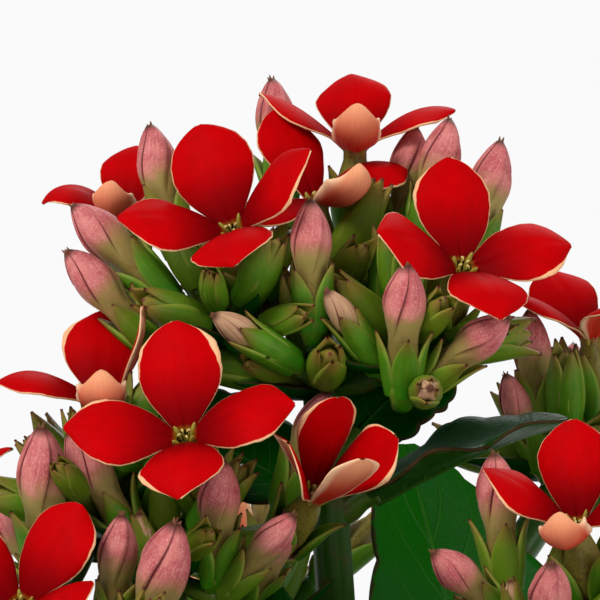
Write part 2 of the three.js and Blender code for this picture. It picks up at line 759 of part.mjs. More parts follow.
const heads = [...HEADS.map(readHead), ...DOMES.map(domeHead)].map((head) => {
  const [x, y] = head.root;
  const root = new THREE.Vector3(x, y, STEMS[head.stem].top[2] + CLEARANCE);
  const leaves = head.name === STALK_LEAVES.head ? STALK_LEAVES.leaves : [];
  return { ...head, root, leaves };
});

// The stalk of a head, from just above its stem, and its branches.
function headSolids(head, grow) {
  const { root, forks } = head;
  const bend = root.clone().lerp(forks[0], 0.4).add(new THREE.Vector3(0, 0, 2));
  const lift = (fork, height) => fork.clone().add(new THREE.Vector3(0, 0, height));
  const main = [root, lift(root, 2.5), bend, lift(forks[0], -1), lift(forks[0], 1.6)];
  const solids = [rod(main, [2.1, 2.1, 2, 2.2, 1.3], 5, grow)];
  for (const fork of forks.slice(1)) {
    const branch = [forks[0], lift(fork, -0.8), lift(fork, 1.4)];
    solids.push(rod(branch, [1.2, 1.8, 1.2], 4, grow));
  }
  for (const leaf of head.leaves) {
    solids.push(leafSolid({ ...leaf, base: vector(leaf.base), reach: STALK_LEAVES.reach }, grow));
  }
  for (const item of head.blooms) solids.push(calyx(item, forks, grow));
  for (const item of head.buds) solids.push(bud(item, forks, grow));
  return solids;
}

// A stem from the crown up to its flat top.
function stemPath({ top }) {
  const [x, y, z] = top;
  const foot = new THREE.Vector3(x * 0.1, y * 0.1, CROWN.bottom + 8);
  const belly = new THREE.Vector3(x * 0.8, y * 0.8, mix(foot.z, z, 0.5));
  return [foot, belly, new THREE.Vector3(x, y, z - 3), new THREE.Vector3(x, y, z)];
}

// The point of a stem at a height.
function stemAt(path, height) {
  const next = Math.max(1, path.findIndex((p) => p.z >= height));
  const [a, b] = [path[next - 1], path[next]];
  return a.clone().lerp(b, (height - a.z) / (b.z - a.z));
}

// Every leaf: the lower ones each grow from the stem that stands furthest their way.
function leafPlaces() {
  const stems = STEMS.map(stemPath);
  const lower = Array.from({ length: LEAVES.count }, (_, i) => {
    const share = i / (LEAVES.count - 1);
    const azimuth = (i * LEAVES.turn) % 360;
    const out = facing(azimuth, 0).axis;
    const height = mix(LEAVES.low, LEAVES.high, share);
    const ways = stems.map((path) => stemAt(path, height));
    return {
      base: ways.reduce((best, p) => (p.dot(out) > best.dot(out) ? p : best)),
      azimuth,
      length: mix(...LEAVES.length, share) * random(0.92, 1.05),
      width: mix(...LEAVES.width, share) * random(0.92, 1.05),
      rise: mix(...LEAVES.rise, share) + random(-5, 5),
      droop: mix(...LEAVES.droop, share) + random(-6, 6),
      bank: random(-9, 9),
      reach: LEAVES.reach * random(0.85, 1.15),
    };
  });
  const upper = UPPER_LEAVES.map((leaf) => ({
    ...leaf,
    base: stemAt(stems[leaf.stem], leaf.height),
    reach: 8,
  }));
  return [...lower, ...upper];
}

// The branched stem with all its leaves, grown as one.
function foliageSolids() {
  const crown = rod(
    [CROWN.bottom, CROWN.bottom + 6, CROWN.top].map((z) => new THREE.Vector3(0, 0, z)),
    [CROWN.radius * 0.8, CROWN.radius, CROWN.radius * 0.75],
    8,
  );
  const stems = STEMS.map((stem) => rod(stemPath(stem), [2.6, 2.5, 2.5, stem.radius], 6));
  const leaves = leafPlaces().map((leaf) => leafSolid(leaf));
  return [crown, ...stems, ...leaves];
}

const join = (solids) => Manifold.union(solids);

// The largest body of a solid.
function largest(solid) {
  const bodies = solid.decompose();
  return bodies.reduce((best, body) => (body.volume() > best.volume() ? body : best));
}

// Every piece in order: each later one is kept clear of the earlier ones.
const pieces = [];
heads.forEach((head) => {
  head.blooms.forEach((bloom, i) => {
    pieces.push({
      name: head.name.replace("head", "bloom") + (i + 1),
      look: "bloom",
      group: head.name,
      at: bloom.mouth,
      build: (grow) => [bloomSolid(bloom, grow)],
    });
  });
});
heads.forEach((head) => {
  pieces.push({
    name: head.name,
    look: "head",
    group: head.name,
    at: head.forks[0],
    build: (grow) => headSolids(head, grow),
  });
});
pieces.push({
  name: "foliage",
  look: "foliage",
  group: "plant",
  at: new THREE.Vector3(0, 0, CROWN.bottom),
  build: () => foliageSolids(),
});

// Whether two boxes meet.
const touching = (a, b) =>
  [0, 1, 2].every((k) => a.min[k] <= b.max[k] && b.min[k] <= a.max[k]);

const kept = [];
for (const piece of pieces) {
  let solid = join(piece.build(0));
  const box = solid.boundingBox();
  const others = kept.filter((other) => touching(box, other.box)).map((other) => other.grown);
  if (others.length) solid = solid.subtract(join(others));
  solid = largest(solid);
  piece.solid = solid;
  if (piece.name !== "foliage") {
    const grown = join(piece.build(CLEARANCE));
    kept.push({ grown, box: grown.boundingBox() });
  }
}

// A named mesh from a solid, placed at its own point.
function meshOf(name, solid, look, at) {
  const { numProp, vertProperties, triVerts } = solid.getMesh();
  const positions = [];
  for (let i = 0; i < vertProperties.length; i += numProp) {
    const [x, y, z] = vertProperties.slice(i, i + 3);
    positions.push(x - at.x, y - at.y, z - at.z);
  }
  const geometry = new THREE.BufferGeometry()
    .setAttribute("position", new THREE.Float32BufferAttribute(positions, 3))
    .setIndex([...triVerts]);
  const mesh = new THREE.Mesh(geometry, new THREE.MeshStandardMaterial(COLOURS[look]));
  mesh.name = name;
  mesh.position.copy(at);
  return mesh;
}

const kalanchoe = new THREE.Group();
const groups = new Map();
for (const piece of pieces) {
  if (!groups.has(piece.group)) {
    const group = new THREE.Group();
    groups.set(piece.group, group);
    kalanchoe.add(group);
  }
  groups.get(piece.group).add(meshOf(piece.name, piece.solid, piece.look, piece.at));
}
const origin = new THREE.Vector3();
kalanchoe.add(meshOf("pot", potSolid(), "pot", origin));
kalanchoe.add(meshOf("soil", soilSolid(), "soil", origin));

export default kalanchoe;
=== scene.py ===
"""A potted kalanchoe: the looks of its flowers, buds, leaves, pot and soil."""

import math

import bpy
import numpy as np
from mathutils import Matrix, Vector, noise

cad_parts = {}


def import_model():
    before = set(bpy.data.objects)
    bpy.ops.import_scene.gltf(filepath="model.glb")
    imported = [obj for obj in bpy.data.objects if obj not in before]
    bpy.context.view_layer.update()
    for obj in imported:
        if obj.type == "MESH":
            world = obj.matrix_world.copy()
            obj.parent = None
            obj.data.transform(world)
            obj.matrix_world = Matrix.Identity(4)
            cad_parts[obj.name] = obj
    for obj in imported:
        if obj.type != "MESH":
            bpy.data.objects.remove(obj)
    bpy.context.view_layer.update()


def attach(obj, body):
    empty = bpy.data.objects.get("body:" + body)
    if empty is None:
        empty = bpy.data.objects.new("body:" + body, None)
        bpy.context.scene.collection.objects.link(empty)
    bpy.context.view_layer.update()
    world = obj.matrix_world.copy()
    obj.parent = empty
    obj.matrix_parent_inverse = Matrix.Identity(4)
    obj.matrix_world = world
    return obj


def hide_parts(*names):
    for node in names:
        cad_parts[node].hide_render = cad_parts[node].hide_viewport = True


MM = 0.001
DEGREE = math.pi / 180
UP = np.array([0.0, 0.0, 1.0])

# The seeded random numbers of the solids: a start, a factor and a prime.
SEED = 4021
FACTOR = 16807
PRIME = 2147483647
# Where the seeds of the fine detail start: a flower's or head's number is added.
SEEDS = {"heads": 100, "leaves": 700, "soil": 55}

POT = {
    "height": 92,
    "base_radius": 36,
    "top_radius": 49,
    "rim_radius": 52.5,
    "rim_height": 13,
    "wall": 1.8,
    "foot": 2.5,
    "drain_radius": 3.5,
    "drain_at": 22,
}
POT_LOOK = {"corner": 1.1, "sides": 144, "drains": 4, "drill_depth": 8}
SOIL_TOP = 82
# The soil's unevenness: how high, which slice of the noise, and how fine.
SOIL_WAVES = [(1.3, 3, 0.09), (0.7, 9, 0.35), (0.35, 5, 1.1)]
CRUMBS = {"count": 420, "pale_every": 14}
CLEARANCE = 0.35
CROWN = {"radius": 8.4, "bottom": 70, "top": 86}

TUBE_LENGTH = 8
BUD_LENGTH = 12.5
PETAL = {"length": 10.5, "half_width": 4.1, "root": 0.9, "thickness": 0.42}
# Where a petal's outline has its points, and its widths there: of a pointed petal, and of
# a blunt one, as a flower's hindmost petal is.
PETAL_PLACES = [0, 0.12, 0.25, 0.4, 0.55, 0.68, 0.79, 0.88, 0.95, 0.985, 1]
POINTED = np.array([0.3, 0.5, 0.76, 0.94, 1, 0.96, 0.8, 0.52, 0.23, 0.09, 0.03])
BLUNT = np.array([0.32, 0.55, 0.8, 0.95, 1.01, 0.99, 0.89, 0.71, 0.47, 0.26, 0.08])
# How far a petal bends round from its middle to its edge, in radians: the edges of an
# open petal turn down, and those of one that curls in turn up. A curl under 0 curls in,
# and wholly so from 60 degrees.
BEND = {"open": -0.5, "shut": 1.6, "shut_from": 60}
# How a petal that curls in differs: its width, and how much further its tip rolls, in degrees.
CURLED_IN = {"width": 0.9, "tip_roll": 65}
# The other outlines: places, and the width or radius at each.
LEAF_OUTLINE = [
    [0, 0.08, 0.2, 0.33, 0.47, 0.6, 0.74, 0.87, 0.95, 1],
    [0.42, 0.66, 0.9, 0.99, 1, 0.93, 0.78, 0.54, 0.32, 0.08],
]
SEPAL_OUTLINE = [[0, 0.18, 0.36, 0.56, 0.75, 0.9, 1], [0.66, 0.92, 1, 0.9, 0.6, 0.27, 0.03]]
# A bud from its foot to its tip, at size 1: a tube, a neck and a pointed egg.
BUD_OUTLINE = [
    [0, 1.6, 3.4, 4.8, 5.6, 6.6, 7.8, 8.9, 10, 11, 11.9, 12.5],
    [1.35, 1.6, 1.62, 1.54, 1.64, 1.88, 2.08, 2.06, 1.8, 1.38, 0.86, 0.38],
]
# A flower's tube, from its foot up to its mouth, over the lip and down inside.
TUBE_OUTLINE = [
    [-8, -7.6, -6, -4.2, -2.6, -1.2, -0.4, 0.1, 0.22, 0.05, -1.2, -2.4],
    [1.35, 1.7, 1.92, 1.9, 1.55, 1.12, 1.1, 1.3, 1.22, 1, 0.8, 0.7],
]
# Where a bud's rolled petal has its columns of points, as shares of a quarter turn.
BUD_COLUMNS = [0.0, 0.03, 0.1, 0.24, 0.42, 0.6, 0.78, 0.92, 0.985]
# Sepals, each as sepal() reads it: under an open flower, round a ripe bud, half closed and
# closed round smaller ones, round a young bud; then small and large bracts.
SEPALS = {
    "flower": (2.55, 0.8, 6.2, 1.6),
    "ripe": (1.9, 0.75, 6, 1.55),
    "unripe": (2.05, -0.1, 9.4, 2),
    "closed": (2.15, -1.1, 11.4, 2.2),
    "young": (1.75, -1.2, 7.2, 1.75),
    "small_bract": (0.2, -1.3, 6.5, 1.5),
    "large_bract": (0.3, -2.2, 9, 2.6),
}
# A bud is ripe above the first of these sizes, and closed in its sepals up to the second.
RIPE_ABOVE = 0.78
CLOSED_TO = 0.75
# Rows and columns of points. Flowers and buds near the eye are finer.
PETAL_GRIDS = {True: (32, 21), False: (26, 17)}
BUD_ROWS = {True: 36, False: 24}
SEPAL_GRID = (12, 7)
LEAF_GRID = (66, 25)
STALK_LEAF_GRID = (60, 23)

STEM_RADIUS = 2.35
STEMS = [
    {"top": [3, -2, 152], "radius": 4.4},
    {"top": [-8.2, -9.2, 146], "radius": 4.4},
    {"top": [11, -17, 130], "radius": 4.5},
    {"top": [5.8, 16, 148], "radius": 4.4},
    {"top": [-24, 4, 134], "radius": 2.5},
    {"top": [27, -1, 132], "radius": 2.5},
]

# The point that the front of the plant is seen from.
EYE = {"distance": 500, "height": 200}
# Heads whose flowers and buds have places of their own, each given as seen() reads it.
# blooms: mouth, [azimuth, elevation, roll], size, lift of each petal, curl of each petal.
# buds: tip, a point on the stalk below it, size. A True at the end of a row makes it finer.
# young: how many young buds, where a head hasn't the usual number.
HEADS = [
    {
        "name": "head_a",
        "root": [4.5, 0.2],
        "stem": 0,
        "forks": [[2.2, -4, -8.7], [-7.5, -5, -3.5], [10.5, -6, -5.5], [2, 1, -1]],
        "blooms": [
            [[-6.7, -10, 7], [-29, 47, 31], 1.06, [42, 48, 44, 45], [25, 40, 72, 40], True],
            [[16.3, -9, 3.3], [20, 46, 1], 1.02, [38, 41, 43, 35], [25, 45, 80, 60], True],
            [[5.5, 8, 15.2], [0, 86, 2], 1, [58, 42, -2, 42], [40, 30, -135, 60]],
            [[1.8, 1, 10], [0, 78, 32], 1, [58, 4, 2, 32], [20, 25, -80, 60]],
            [[-17.6, 5, 8.6], [-10, 80, 0], 0.85, [55, 44, 0, 58], [40, 110, -130, 60]],
        ],
        "buds": [
            [[-2.8, 12, 22], [-1.6, 8, 9], 1],
            [[-15.2, -1, 17.4], [-12.4, -3, 6], 1],
            [[-22.7, -5, 9.4], [-14.5, -6, 1.5], 1, True],
            [[-23.2, -8, 4.9], [-15.5, -7, -3.5], 1],
            [[15, 4, 18], [12.2, 2, 6.5], 1],
            [[11.6, 8, 17.2], [9.8, 6, 6], 0.95],
            [[20, 3, 15.8], [17.4, 1, 5], 1],
            [[1.1, -13, 10], [1.2, -11, -1.8], 0.95, True],
            [[10.5, -16, 3.5], [10.2, -12, -8.3], 0.98, True],
            [[20.7, -14, -1.5], [12.6, -10, -8.5], 0.9, True],
            [[-8.7, -17, -1.5], [0.5, -11, -7], 0.78, True],
            [[2.7, -15, 0.9], [7.8, -10, -6.6], 0.78, True],
            [[13, -23, -8.8], [12.4, -13, -9.4], 0.75, True],
            [[8.6, -5, 8.2], [8.4, -4, 0], 0.75],
        ],
    },
    {
        "name": "head_b",
        "root": [-9.6, -7.2],
        "stem": 1,
        "forks": [[-13.5, -14, -27], [-20, -12, -22]],
        "blooms": [
            [[-11.5, -21, -13.7], [-13, 44, 10], 1.05, [37, 31, 41, 34], [25, 40, 75, 60], True],
            [[-19.8, -11, -10.2], [0, 74, 2], 1, [50, 36, 2, 62], [30, 75, -120, -20]],
            [[-35.5, -6, -20], [-35, 62, 10], 0.95, [45, 45, 45, 45], [40, 40, 40, 40]],
        ],
        "buds": [
            [[-25.9, -20, -12.7], [-25.5, -17, -24.5], 1.15, True],
            [[-23, -16, -13.1], [-17.4, -15, -23], 1],
            [[-8, -22, -16], [-8.4, -18, -27], 0.95, True],
            [[-0.6, -22, -21.5], [-7.5, -18, -29.5], 0.8],
            [[-16.5, -19, -20.5], [-13.5, -17, -30], 0.7],
            [[-30.5, -12, -20], [-25, -12, -29], 0.8],
        ],
    },
    {
        "name": "head_c",
        "young": 0,
        "root": [1.5, -4.2],
        "stem": 0,
        "forks": [[-2.5, -10, -33]],
        "blooms": [
            [[1.5, -17, -19.4], [28, 38, 0], 0.96, [70, 60, 68, 70], [5, 10, -20, 10], True],
        ],
        "buds": [
            [[2.8, -9, -9.2], [-1.6, -8, -20], 0.9],
            [[-1.6, -16, -21.4], [-4.6, -13, -31], 0.8],
            [[-6.8, -14, -25], [-5.4, -12, -33], 0.6],
        ],
    },
    {
        "name": "head_d",
        "root": [13, -15.1],
        "stem": 2,
        "forks": [[24, -19, -39]],
        "blooms": [
            [[27.6, -21, -22.5], [-24, 61, 10], 0.95, [54, 58, 0, 40], [20, 40, -140, 40], True],
            [[41, -22, -32], [30, 45, 20], 1, [42, 42, 42, 42], [40, 40, 40, 40]],
        ],
        "buds": [
            [[19.4, -19, -15.4], [20.4, -18, -27], 0.98, True],
            [[13.3, -24, -25.1], [20.5, -20, -31.5], 0.85],
            [[25.3, -30, -26.3], [24.4, -23, -36], 0.95],
            [[20.7, -25, -27.4], [22.5, -21, -36], 0.6],
            [[34, -28, -28], [29, -22, -37], 0.8],
        ],
    },
    {
        "name": "head_e",
        "root": [8.1, 15],
        "stem": 3,
        "forks": [[26.5, 26, -17]],
        "blooms": [
            [[29, 27, -3.5], [-15, 76, 40], 0.95, [46, 50, 50, 46], [40, 50, 60, 40]],
            [[40, 38, -12], [110, 45, 0], 1, [44, 44, 44, 44], [40, 40, 40, 40]],
            [[33.5, 46, -17], [165, 30, 30], 0.95, [44, 44, 44, 44], [40, 40, 40, 40]],
        ],
        "buds": [
            [[23, 24, -1], [23.6, 24, -13], 0.95],
            [[20.5, 22, -7.5], [24, 24, -16.5], 0.8],
            [[33.5, 12, -14], [29.5, 20, -20], 0.85],
            [[27.5, 40, -4.5], [26.5, 33, -15], 0.8],
            [[26, 16, -12], [26.5, 22, -20], 0.75],
        ],
    },
    {
        "name": "head_f",
        "root": [-6.8, -11.2],
        "stem": 1,
        "forks": [[-19, -23, -42]],
        "blooms": [
            [[-28, -26, -30.5], [-14, 50, -32], 1, [42, 42, 42, 42], [30, 40, 50, 40]],
            [[-17.5, -41, -47.5], [6, 14, 10], 1, [40, 40, 40, 40], [40, 40, 40, 40]],
        ],
        "buds": [
            [[-12.4, -28, -22.3], [-15.6, -24, -34.5], 1.2, True],
            [[-17.8, -23, -21.5], [-19, -22, -33], 0.9],
            [[-33.5, -34, -38], [-26, -27, -41], 0.9],
            [[-21, -33, -30], [-20, -26, -38], 0.6],
        ],
    },
]

# Heads set out by a rule, as in the solids.
DOMES = [
    {"name": "head_g", "root": [-24, 4], "stem": 4, "fork": [-41, 8, 157], "lean": [-100, 62], "turn": 20},
    {"name": "head_h", "root": [3.5, 17], "stem": 3, "fork": [-5, 41, 163], "lean": [185, 66], "turn": 75},
    {"name": "head_k", "root": [27, -1], "stem": 5, "fork": [48, -2, 153], "lean": [92, 60], "turn": 50},
    {"name": "head_l", "root": [9, -18.8], "stem": 2, "fork": [5, -43, 145], "lean": [8, 58], "turn": 95},
]
DOME = {"bloom_reach": 19.5, "bloom_tilt": 48, "buds": [[4, 0, 21], [60, 60, 19]]}
BUD_TURN = 40
# Young buds: how many a head has, their sizes, and how often a place is tried.
YOUNG_BUDS = {"first": 2, "each_fork": 8, "sizes": [1.2, 0.6], "tries": 900}
BRACTS = 7

LEAVES = {
    "count": 12,
    "turn": 137.5,
    "low": 95,
    "high": 124,
    "reach": 13,
    "length": [60, 48],
    "width": [48, 38],
    "rise": [14, 30],
    "droop": [44, 42],
}
# The upper leaves: stem, height, then these values; where there is no tone, chance gives it.
LEAF_NAMES = ("azimuth", "rise", "droop", "length", "width", "bank", "tone")
UPPER_LEAVES = [
    [5, 124, -135, 70, 0, 56, 34, 0, 1.0],
    [1, 134, -92, 56, 52, 38, 20, 4],
    [3, 129, -160, 42, 46, 42, 30, 0],
    [4, 126, -125, 36, 46, 40, 28, -6],
    [5, 126, 125, 42, 50, 42, 30, 6],
]
# The leaves on a head's stalk: base, then the same values.
STALK_LEAVES = {
    "head": "head_a",
    "reach": 4,
    "leaves": [
        [[3.2, -2.3, 178.6], 84, 25, 14, 21, 15, 8, 0.0],
        [[2.6, -2.4, 178.6], -104, 30, 16, 17, 14, -40, 0.2],
        [[3, -2.6, 183], 110, 45, 20, 14, 12, 40, 0.1],
    ],
}

# The surroundings as they light the plant and as they shine in it, and the lights.
ROOM = {"Is Diffuse Ray": 0.5, "Is Glossy Ray": 0.14}
LIGHTS = [
    {"name": "key", "place": (-0.8, -1.0, 1.3), "energy": 20, "size": 0.7, "colour": (1, 0.98, 0.95)},
    {"name": "fill", "place": (1.3, -0.8, 0.5), "energy": 6, "size": 0.8, "colour": (1, 1, 1)},
    {"name": "back", "place": (0.3, 1.3, 1.2), "energy": 12, "size": 0.9, "colour": (1, 1, 1)},
]
LIT_POINT = (0, 0, 0.18)

random_state = SEED


def random(low, high):
    """The next seeded random number, in the same order as in the solids."""
    global random_state
    random_state = (random_state * FACTOR) % PRIME
    return low + (high - low) * random_state / PRIME


class Chance:
    """Seeded random numbers for the fine detail alone."""

    def __init__(self, seed):
        self.draw = np.random.default_rng(seed)

    def between(self, low, high):
        return float(self.draw.uniform(low, high))


def mix(a, b, t):
    return a + (b - a) * t


def unit(v):
    """A vector, or each of an array of them, at length 1."""
    return v / np.maximum(np.linalg.norm(v, axis=-1, keepdims=True), 1e-9)


def hump(t, place, width):
    """A soft hump 1 high at a place on t."""
    return np.exp(-(((t - place) / width) ** 2))


def angles(count):
    """Angles in radians, evenly round a full turn."""
    return np.linspace(0, 2 * math.pi, count, endpoint=False)


def swing(angle, start, end):
    """The direction at an angle, in radians, from one direction towards another."""
    return np.cos(angle)[..., None] * start + np.sin(angle)[..., None] * end


def outline(x, y, places):
    """A smooth curve through the values y at x, read at the given places."""
    x, y = np.array(x, float), np.array(y, float)
    slope = np.gradient(y, x)
    i = np.clip(np.searchsorted(x, places, side="right") - 1, 0, len(x) - 2)
    span = x[i + 1] - x[i]
    t = (places - x[i]) / span
    return (
        (2 * t**3 - 3 * t**2 + 1) * y[i]
        + (t**3 - 2 * t**2 + t) * span * slope[i]
        + (3 * t**2 - 2 * t**3) * y[i + 1]
        + (t**3 - t**2) * span * slope[i + 1]
    )


def bent_line(slope, length, places):
    """The slope, run and rise at places on a line, from its slopes at even steps."""
    middle = (slope[1:] + slope[:-1]) / 2
    step = length / len(middle)
    run = np.concatenate([[0], np.cumsum(np.cos(middle) * step)])
    rise = np.concatenate([[0], np.cumsum(np.sin(middle) * step)])
    u = np.linspace(0, 1, len(slope))
    return [np.interp(places, u, values) for values in (slope, run, rise)]


def curve_through(points, count):
    """A smooth path through a few points."""
    p = np.array(points, float)
    ends = np.vstack([2 * p[0] - p[1], p, 2 * p[-1] - p[-2]])
    t = np.linspace(0, len(p) - 1, count)
    i = np.minimum(t.astype(int), len(p) - 2)
    f = (t - i)[:, None]
    a, b, c, d = ends[i], ends[i + 1], ends[i + 2], ends[i + 3]
    square = (2 * a - 5 * b + 4 * c - d) * f**2
    return 0.5 * (2 * b + (c - a) * f + square + (3 * b - a - 3 * c + d) * f**3)


def facing(azimuth, elevation):
    """The three directions of a flower: its axis, and two across it."""
    a, e = azimuth * DEGREE, elevation * DEGREE
    axis = np.array([math.sin(a) * math.cos(e), -math.cos(a) * math.cos(e), math.sin(e)])
    up = np.array([-math.sin(a) * math.sin(e), math.cos(a) * math.sin(e), math.cos(e)])
    return axis, up, np.cross(axis, up)


def pointing(direction):
    """The three directions of a flower or bud whose axis is given."""
    x, y, z = unit(direction)
    return facing(math.atan2(x, -y) / DEGREE, math.asin(z) / DEGREE)


def around(frame, angle):
    """A direction across a flower's axis, at an angle round it in degrees."""
    return swing(angle * DEGREE, frame[1], frame[2])


class Shell:
    """Collects lofted surfaces in one mesh, with values on its points for the materials.

    paints are the names of its materials. Each surface gets one of them.
    """

    def __init__(self, *paints):
        self.paints = paints
        self.points = []
        self.faces = []
        self.slots = []
        self.values = {"along": [], "across": [], "side": [], "tone": []}
        self.count = 0

    def loft(self, loops, paint, along=0.0, across=0.0, side=1.0, tone=0.5, closed=False):
        """Adds closed loops of points, rows x columns x 3, skinned one to the next."""
        rows, columns = loops.shape[:2]
        start = self.count
        self.points.append(loops.reshape(-1, 3))
        self.count += rows * columns
        given = {"along": along, "across": across, "side": side, "tone": tone}
        for name, value in given.items():
            self.values[name].append(np.broadcast_to(value, (rows, columns)).reshape(-1))
        i = np.arange(rows - 1)[:, None] * columns + start
        j = np.arange(columns)
        k = (j + 1) % columns
        quads = np.stack([i + j, i + k, i + columns + k, i + columns + j], axis=-1)
        self.faces.extend(quads.reshape(-1, 4).tolist())
        slot = self.paints.index(paint)
        self.slots.extend([slot] * ((rows - 1) * columns))
        if closed:
            last = start + (rows - 1) * columns
            self.faces.append([start + n for n in reversed(range(columns))])
            self.faces.append([last + n for n in range(columns)])
            self.slots.extend([slot, slot])

    def blade(self, line, across, up, sideways, rise, thickness, paint, tone):
        """Adds a thin blade: a grid spread sideways and upwards from its middle line."""
        across = np.broadcast_to(across, line.shape)[:, None]
        middle = line[:, None] + sideways[..., None] * across + rise[..., None] * up[:, None]
        rows, columns = middle.shape[:2]
        out = unit(np.cross(np.gradient(middle, axis=0), np.gradient(middle, axis=1)))
        if np.sum(out[rows // 2, columns // 2] * up[rows // 2]) < 0:
            out = -out
        half = out * thickness[..., None] / 2
        loops = np.concatenate([middle + half, (middle - half)[:, ::-1]], axis=1)
        v = np.linspace(-1, 1, columns)
        edge = np.concatenate([v, v[::-1]])
        side = np.repeat([1.0, 0.0], columns)
        if isinstance(tone, np.ndarray):
            tone = np.concatenate([tone, tone[:, ::-1]], axis=1)
        self.loft(loops, paint, np.linspace(0, 1, rows)[:, None], edge, side, tone)

    def rod(self, path, radii, paint, tone, sides=14, first=None):
        """Adds a round rod along a path. first is the direction of its first corner."""
        path = np.asarray(path, float)
        tangent = unit(np.gradient(path, axis=0))
        side = np.cross([0.31, -0.83, 0.17], tangent[0]) if first is None else first
        angle = angles(sides)
        loops = []
        for centre, t, radius in zip(path, tangent, radii):
            side = unit(side - t * (side @ t))
            loops.append(centre + radius * swing(angle, side, np.cross(t, side)))
        u = np.linspace(0, 1, len(path))[:, None]
        self.loft(np.array(loops), paint, u, angle / math.pi - 1, 1.0, tone, True)

    def knob(self, base, axis, size, heights, widths, tone, sides):
        """Adds a round green body on an axis, such as the seat that a flower grows from."""
        path = [base + axis * height * size for height in heights]
        self.rod(path, np.array(widths) * size, "sepal", tone, sides)

    def piece(self, name, materials):
        """Makes the smooth mesh object, with its values and the materials that it names."""
        mesh = bpy.data.meshes.new(name)
        points = np.concatenate(self.points) * MM
        mesh.from_pydata(points.tolist(), [], self.faces)
        for key, parts in self.values.items():
            layer = mesh.attributes.new(key, "FLOAT", "POINT")
            layer.data.foreach_set("value", np.concatenate(parts).astype(np.float32))
        for paint in self.paints:
            mesh.materials.append(materials[paint])
        mesh.polygons.foreach_set("material_index", self.slots)
        mesh.polygons.foreach_set("use_smooth", [True] * len(mesh.polygons))
        mesh.update()
        made = bpy.data.objects.new(name, mesh)
        bpy.context.scene.collection.objects.link(made)
        return made


def linear(red, green, blue):
    """A colour written as 0-255 screen values, as the shader wants it."""
    share = np.array([red, green, blue]) / 255
    made = np.where(share <= 0.04045, share / 12.92, ((share + 0.055) / 1.055) ** 2.4)
    return (*made.tolist(), 1)


class Material:
    """A material and short names for the nodes that paint it. Colours are screen values."""

    def __init__(self, name, **uniform):
        self.made = bpy.data.materials.new(name)
        self.made.use_nodes = True
        self.tree = self.made.node_tree
        self.shader = self.tree.nodes["Principled BSDF"]
        self.coordinates = self.node("ShaderNodeTexCoord").outputs["Object"]
        for socket, value in uniform.items():
            self.shader.inputs[socket.replace("_", " ")].default_value = value

    def put(self, socket, value):
        """Links a socket, or sets its value; a tuple is a colour."""
        if isinstance(value, bpy.types.NodeSocket):
            self.tree.links.new(value, socket)
        else:
            socket.default_value = linear(*value) if isinstance(value, tuple) else value

    def set(self, socket, value):
        self.put(self.shader.inputs[socket], value)

    def node(self, kind, inputs=None, **settings):
        """A new node with its settings, and what goes into its inputs."""
        made = self.tree.nodes.new(kind)
        for key, value in settings.items():
            setattr(made, key, value)
        for key, value in (inputs or {}).items():
            self.put(made.inputs[key], value)
        return made

    def value(self, name):
        """A value that the points carry."""
        return self.node("ShaderNodeAttribute", attribute_name=name).outputs["Fac"]

    def math(self, operation, a, b=0.0):
        return self.node("ShaderNodeMath", {0: a, 1: b}, operation=operation).outputs[0]

    def times(self, a, b):
        return self.math("MULTIPLY", a, b)

    def plus(self, a, b):
        return self.math("ADD", a, b)

    def minus(self, a, b):
        return self.math("SUBTRACT", a, b)

    def step(self, value, low, high):
        """0 below low, 1 above high, smooth between; turned round if low is above high."""
        inputs = {"Value": value, "From Min": low, "From Max": high}
        return self.node("ShaderNodeMapRange", inputs, interpolation_type="SMOOTHSTEP").outputs[0]

    def blend(self, share, a, b):
        """From colour a to colour b as the share goes from 0 to 1."""
        return self.node("ShaderNodeMix", {0: share, 6: a, 7: b}, data_type="RGBA").outputs[2]

    def coat(self, base, colour, share, most):
        """A base with a colour laid over it where the share is high, up to a strength."""
        return self.blend(self.times(share, most), base, colour)

    def noise(self, size, detail=2.0, roughness=0.5):
        """Noise whose features are about the given size in millimetres."""
        return self.noise_at(self.coordinates, 1 / (size * MM), detail, roughness)

    def noise_at(self, vector, scale, detail, roughness=0.5):
        inputs = {"Vector": vector, "Scale": scale, "Detail": detail, "Roughness": roughness}
        return self.node("ShaderNodeTexNoise", inputs).outputs["Fac"]

    def streaks(self, across, along, scale, shift=0.0):
        """Streaks along a part: how often they change across it and along it."""
        x, y = self.times(self.value("across"), across), self.times(self.value("along"), along)
        place = self.node("ShaderNodeCombineXYZ", {0: x, 1: y, 2: shift})
        return self.noise_at(place.outputs[0], scale, 3.0)

    def edge(self):
        """0 in the middle of a blade, 1 at its edges."""
        return self.math("ABSOLUTE", self.value("across"))

    def waver(self, value, noise, amount):
        """A value moved up and down by noise."""
        return self.plus(value, self.times(self.minus(noise, 0.5), amount))

    def rough(self, least, share, more):
        """Roughness that rises from the least with a share."""
        self.set("Roughness", self.plus(least, self.times(share, more)))

    def finish(self, colour, relief, depth, strength):
        """Sets the colour and a relief, its depth in millimetres, and gives the material."""
        inputs = {"Height": relief, "Distance": depth * MM, "Strength": strength}
        self.set("Normal", self.node("ShaderNodeBump", inputs).outputs[0])
        self.set("Base Color", colour)
        return self.made


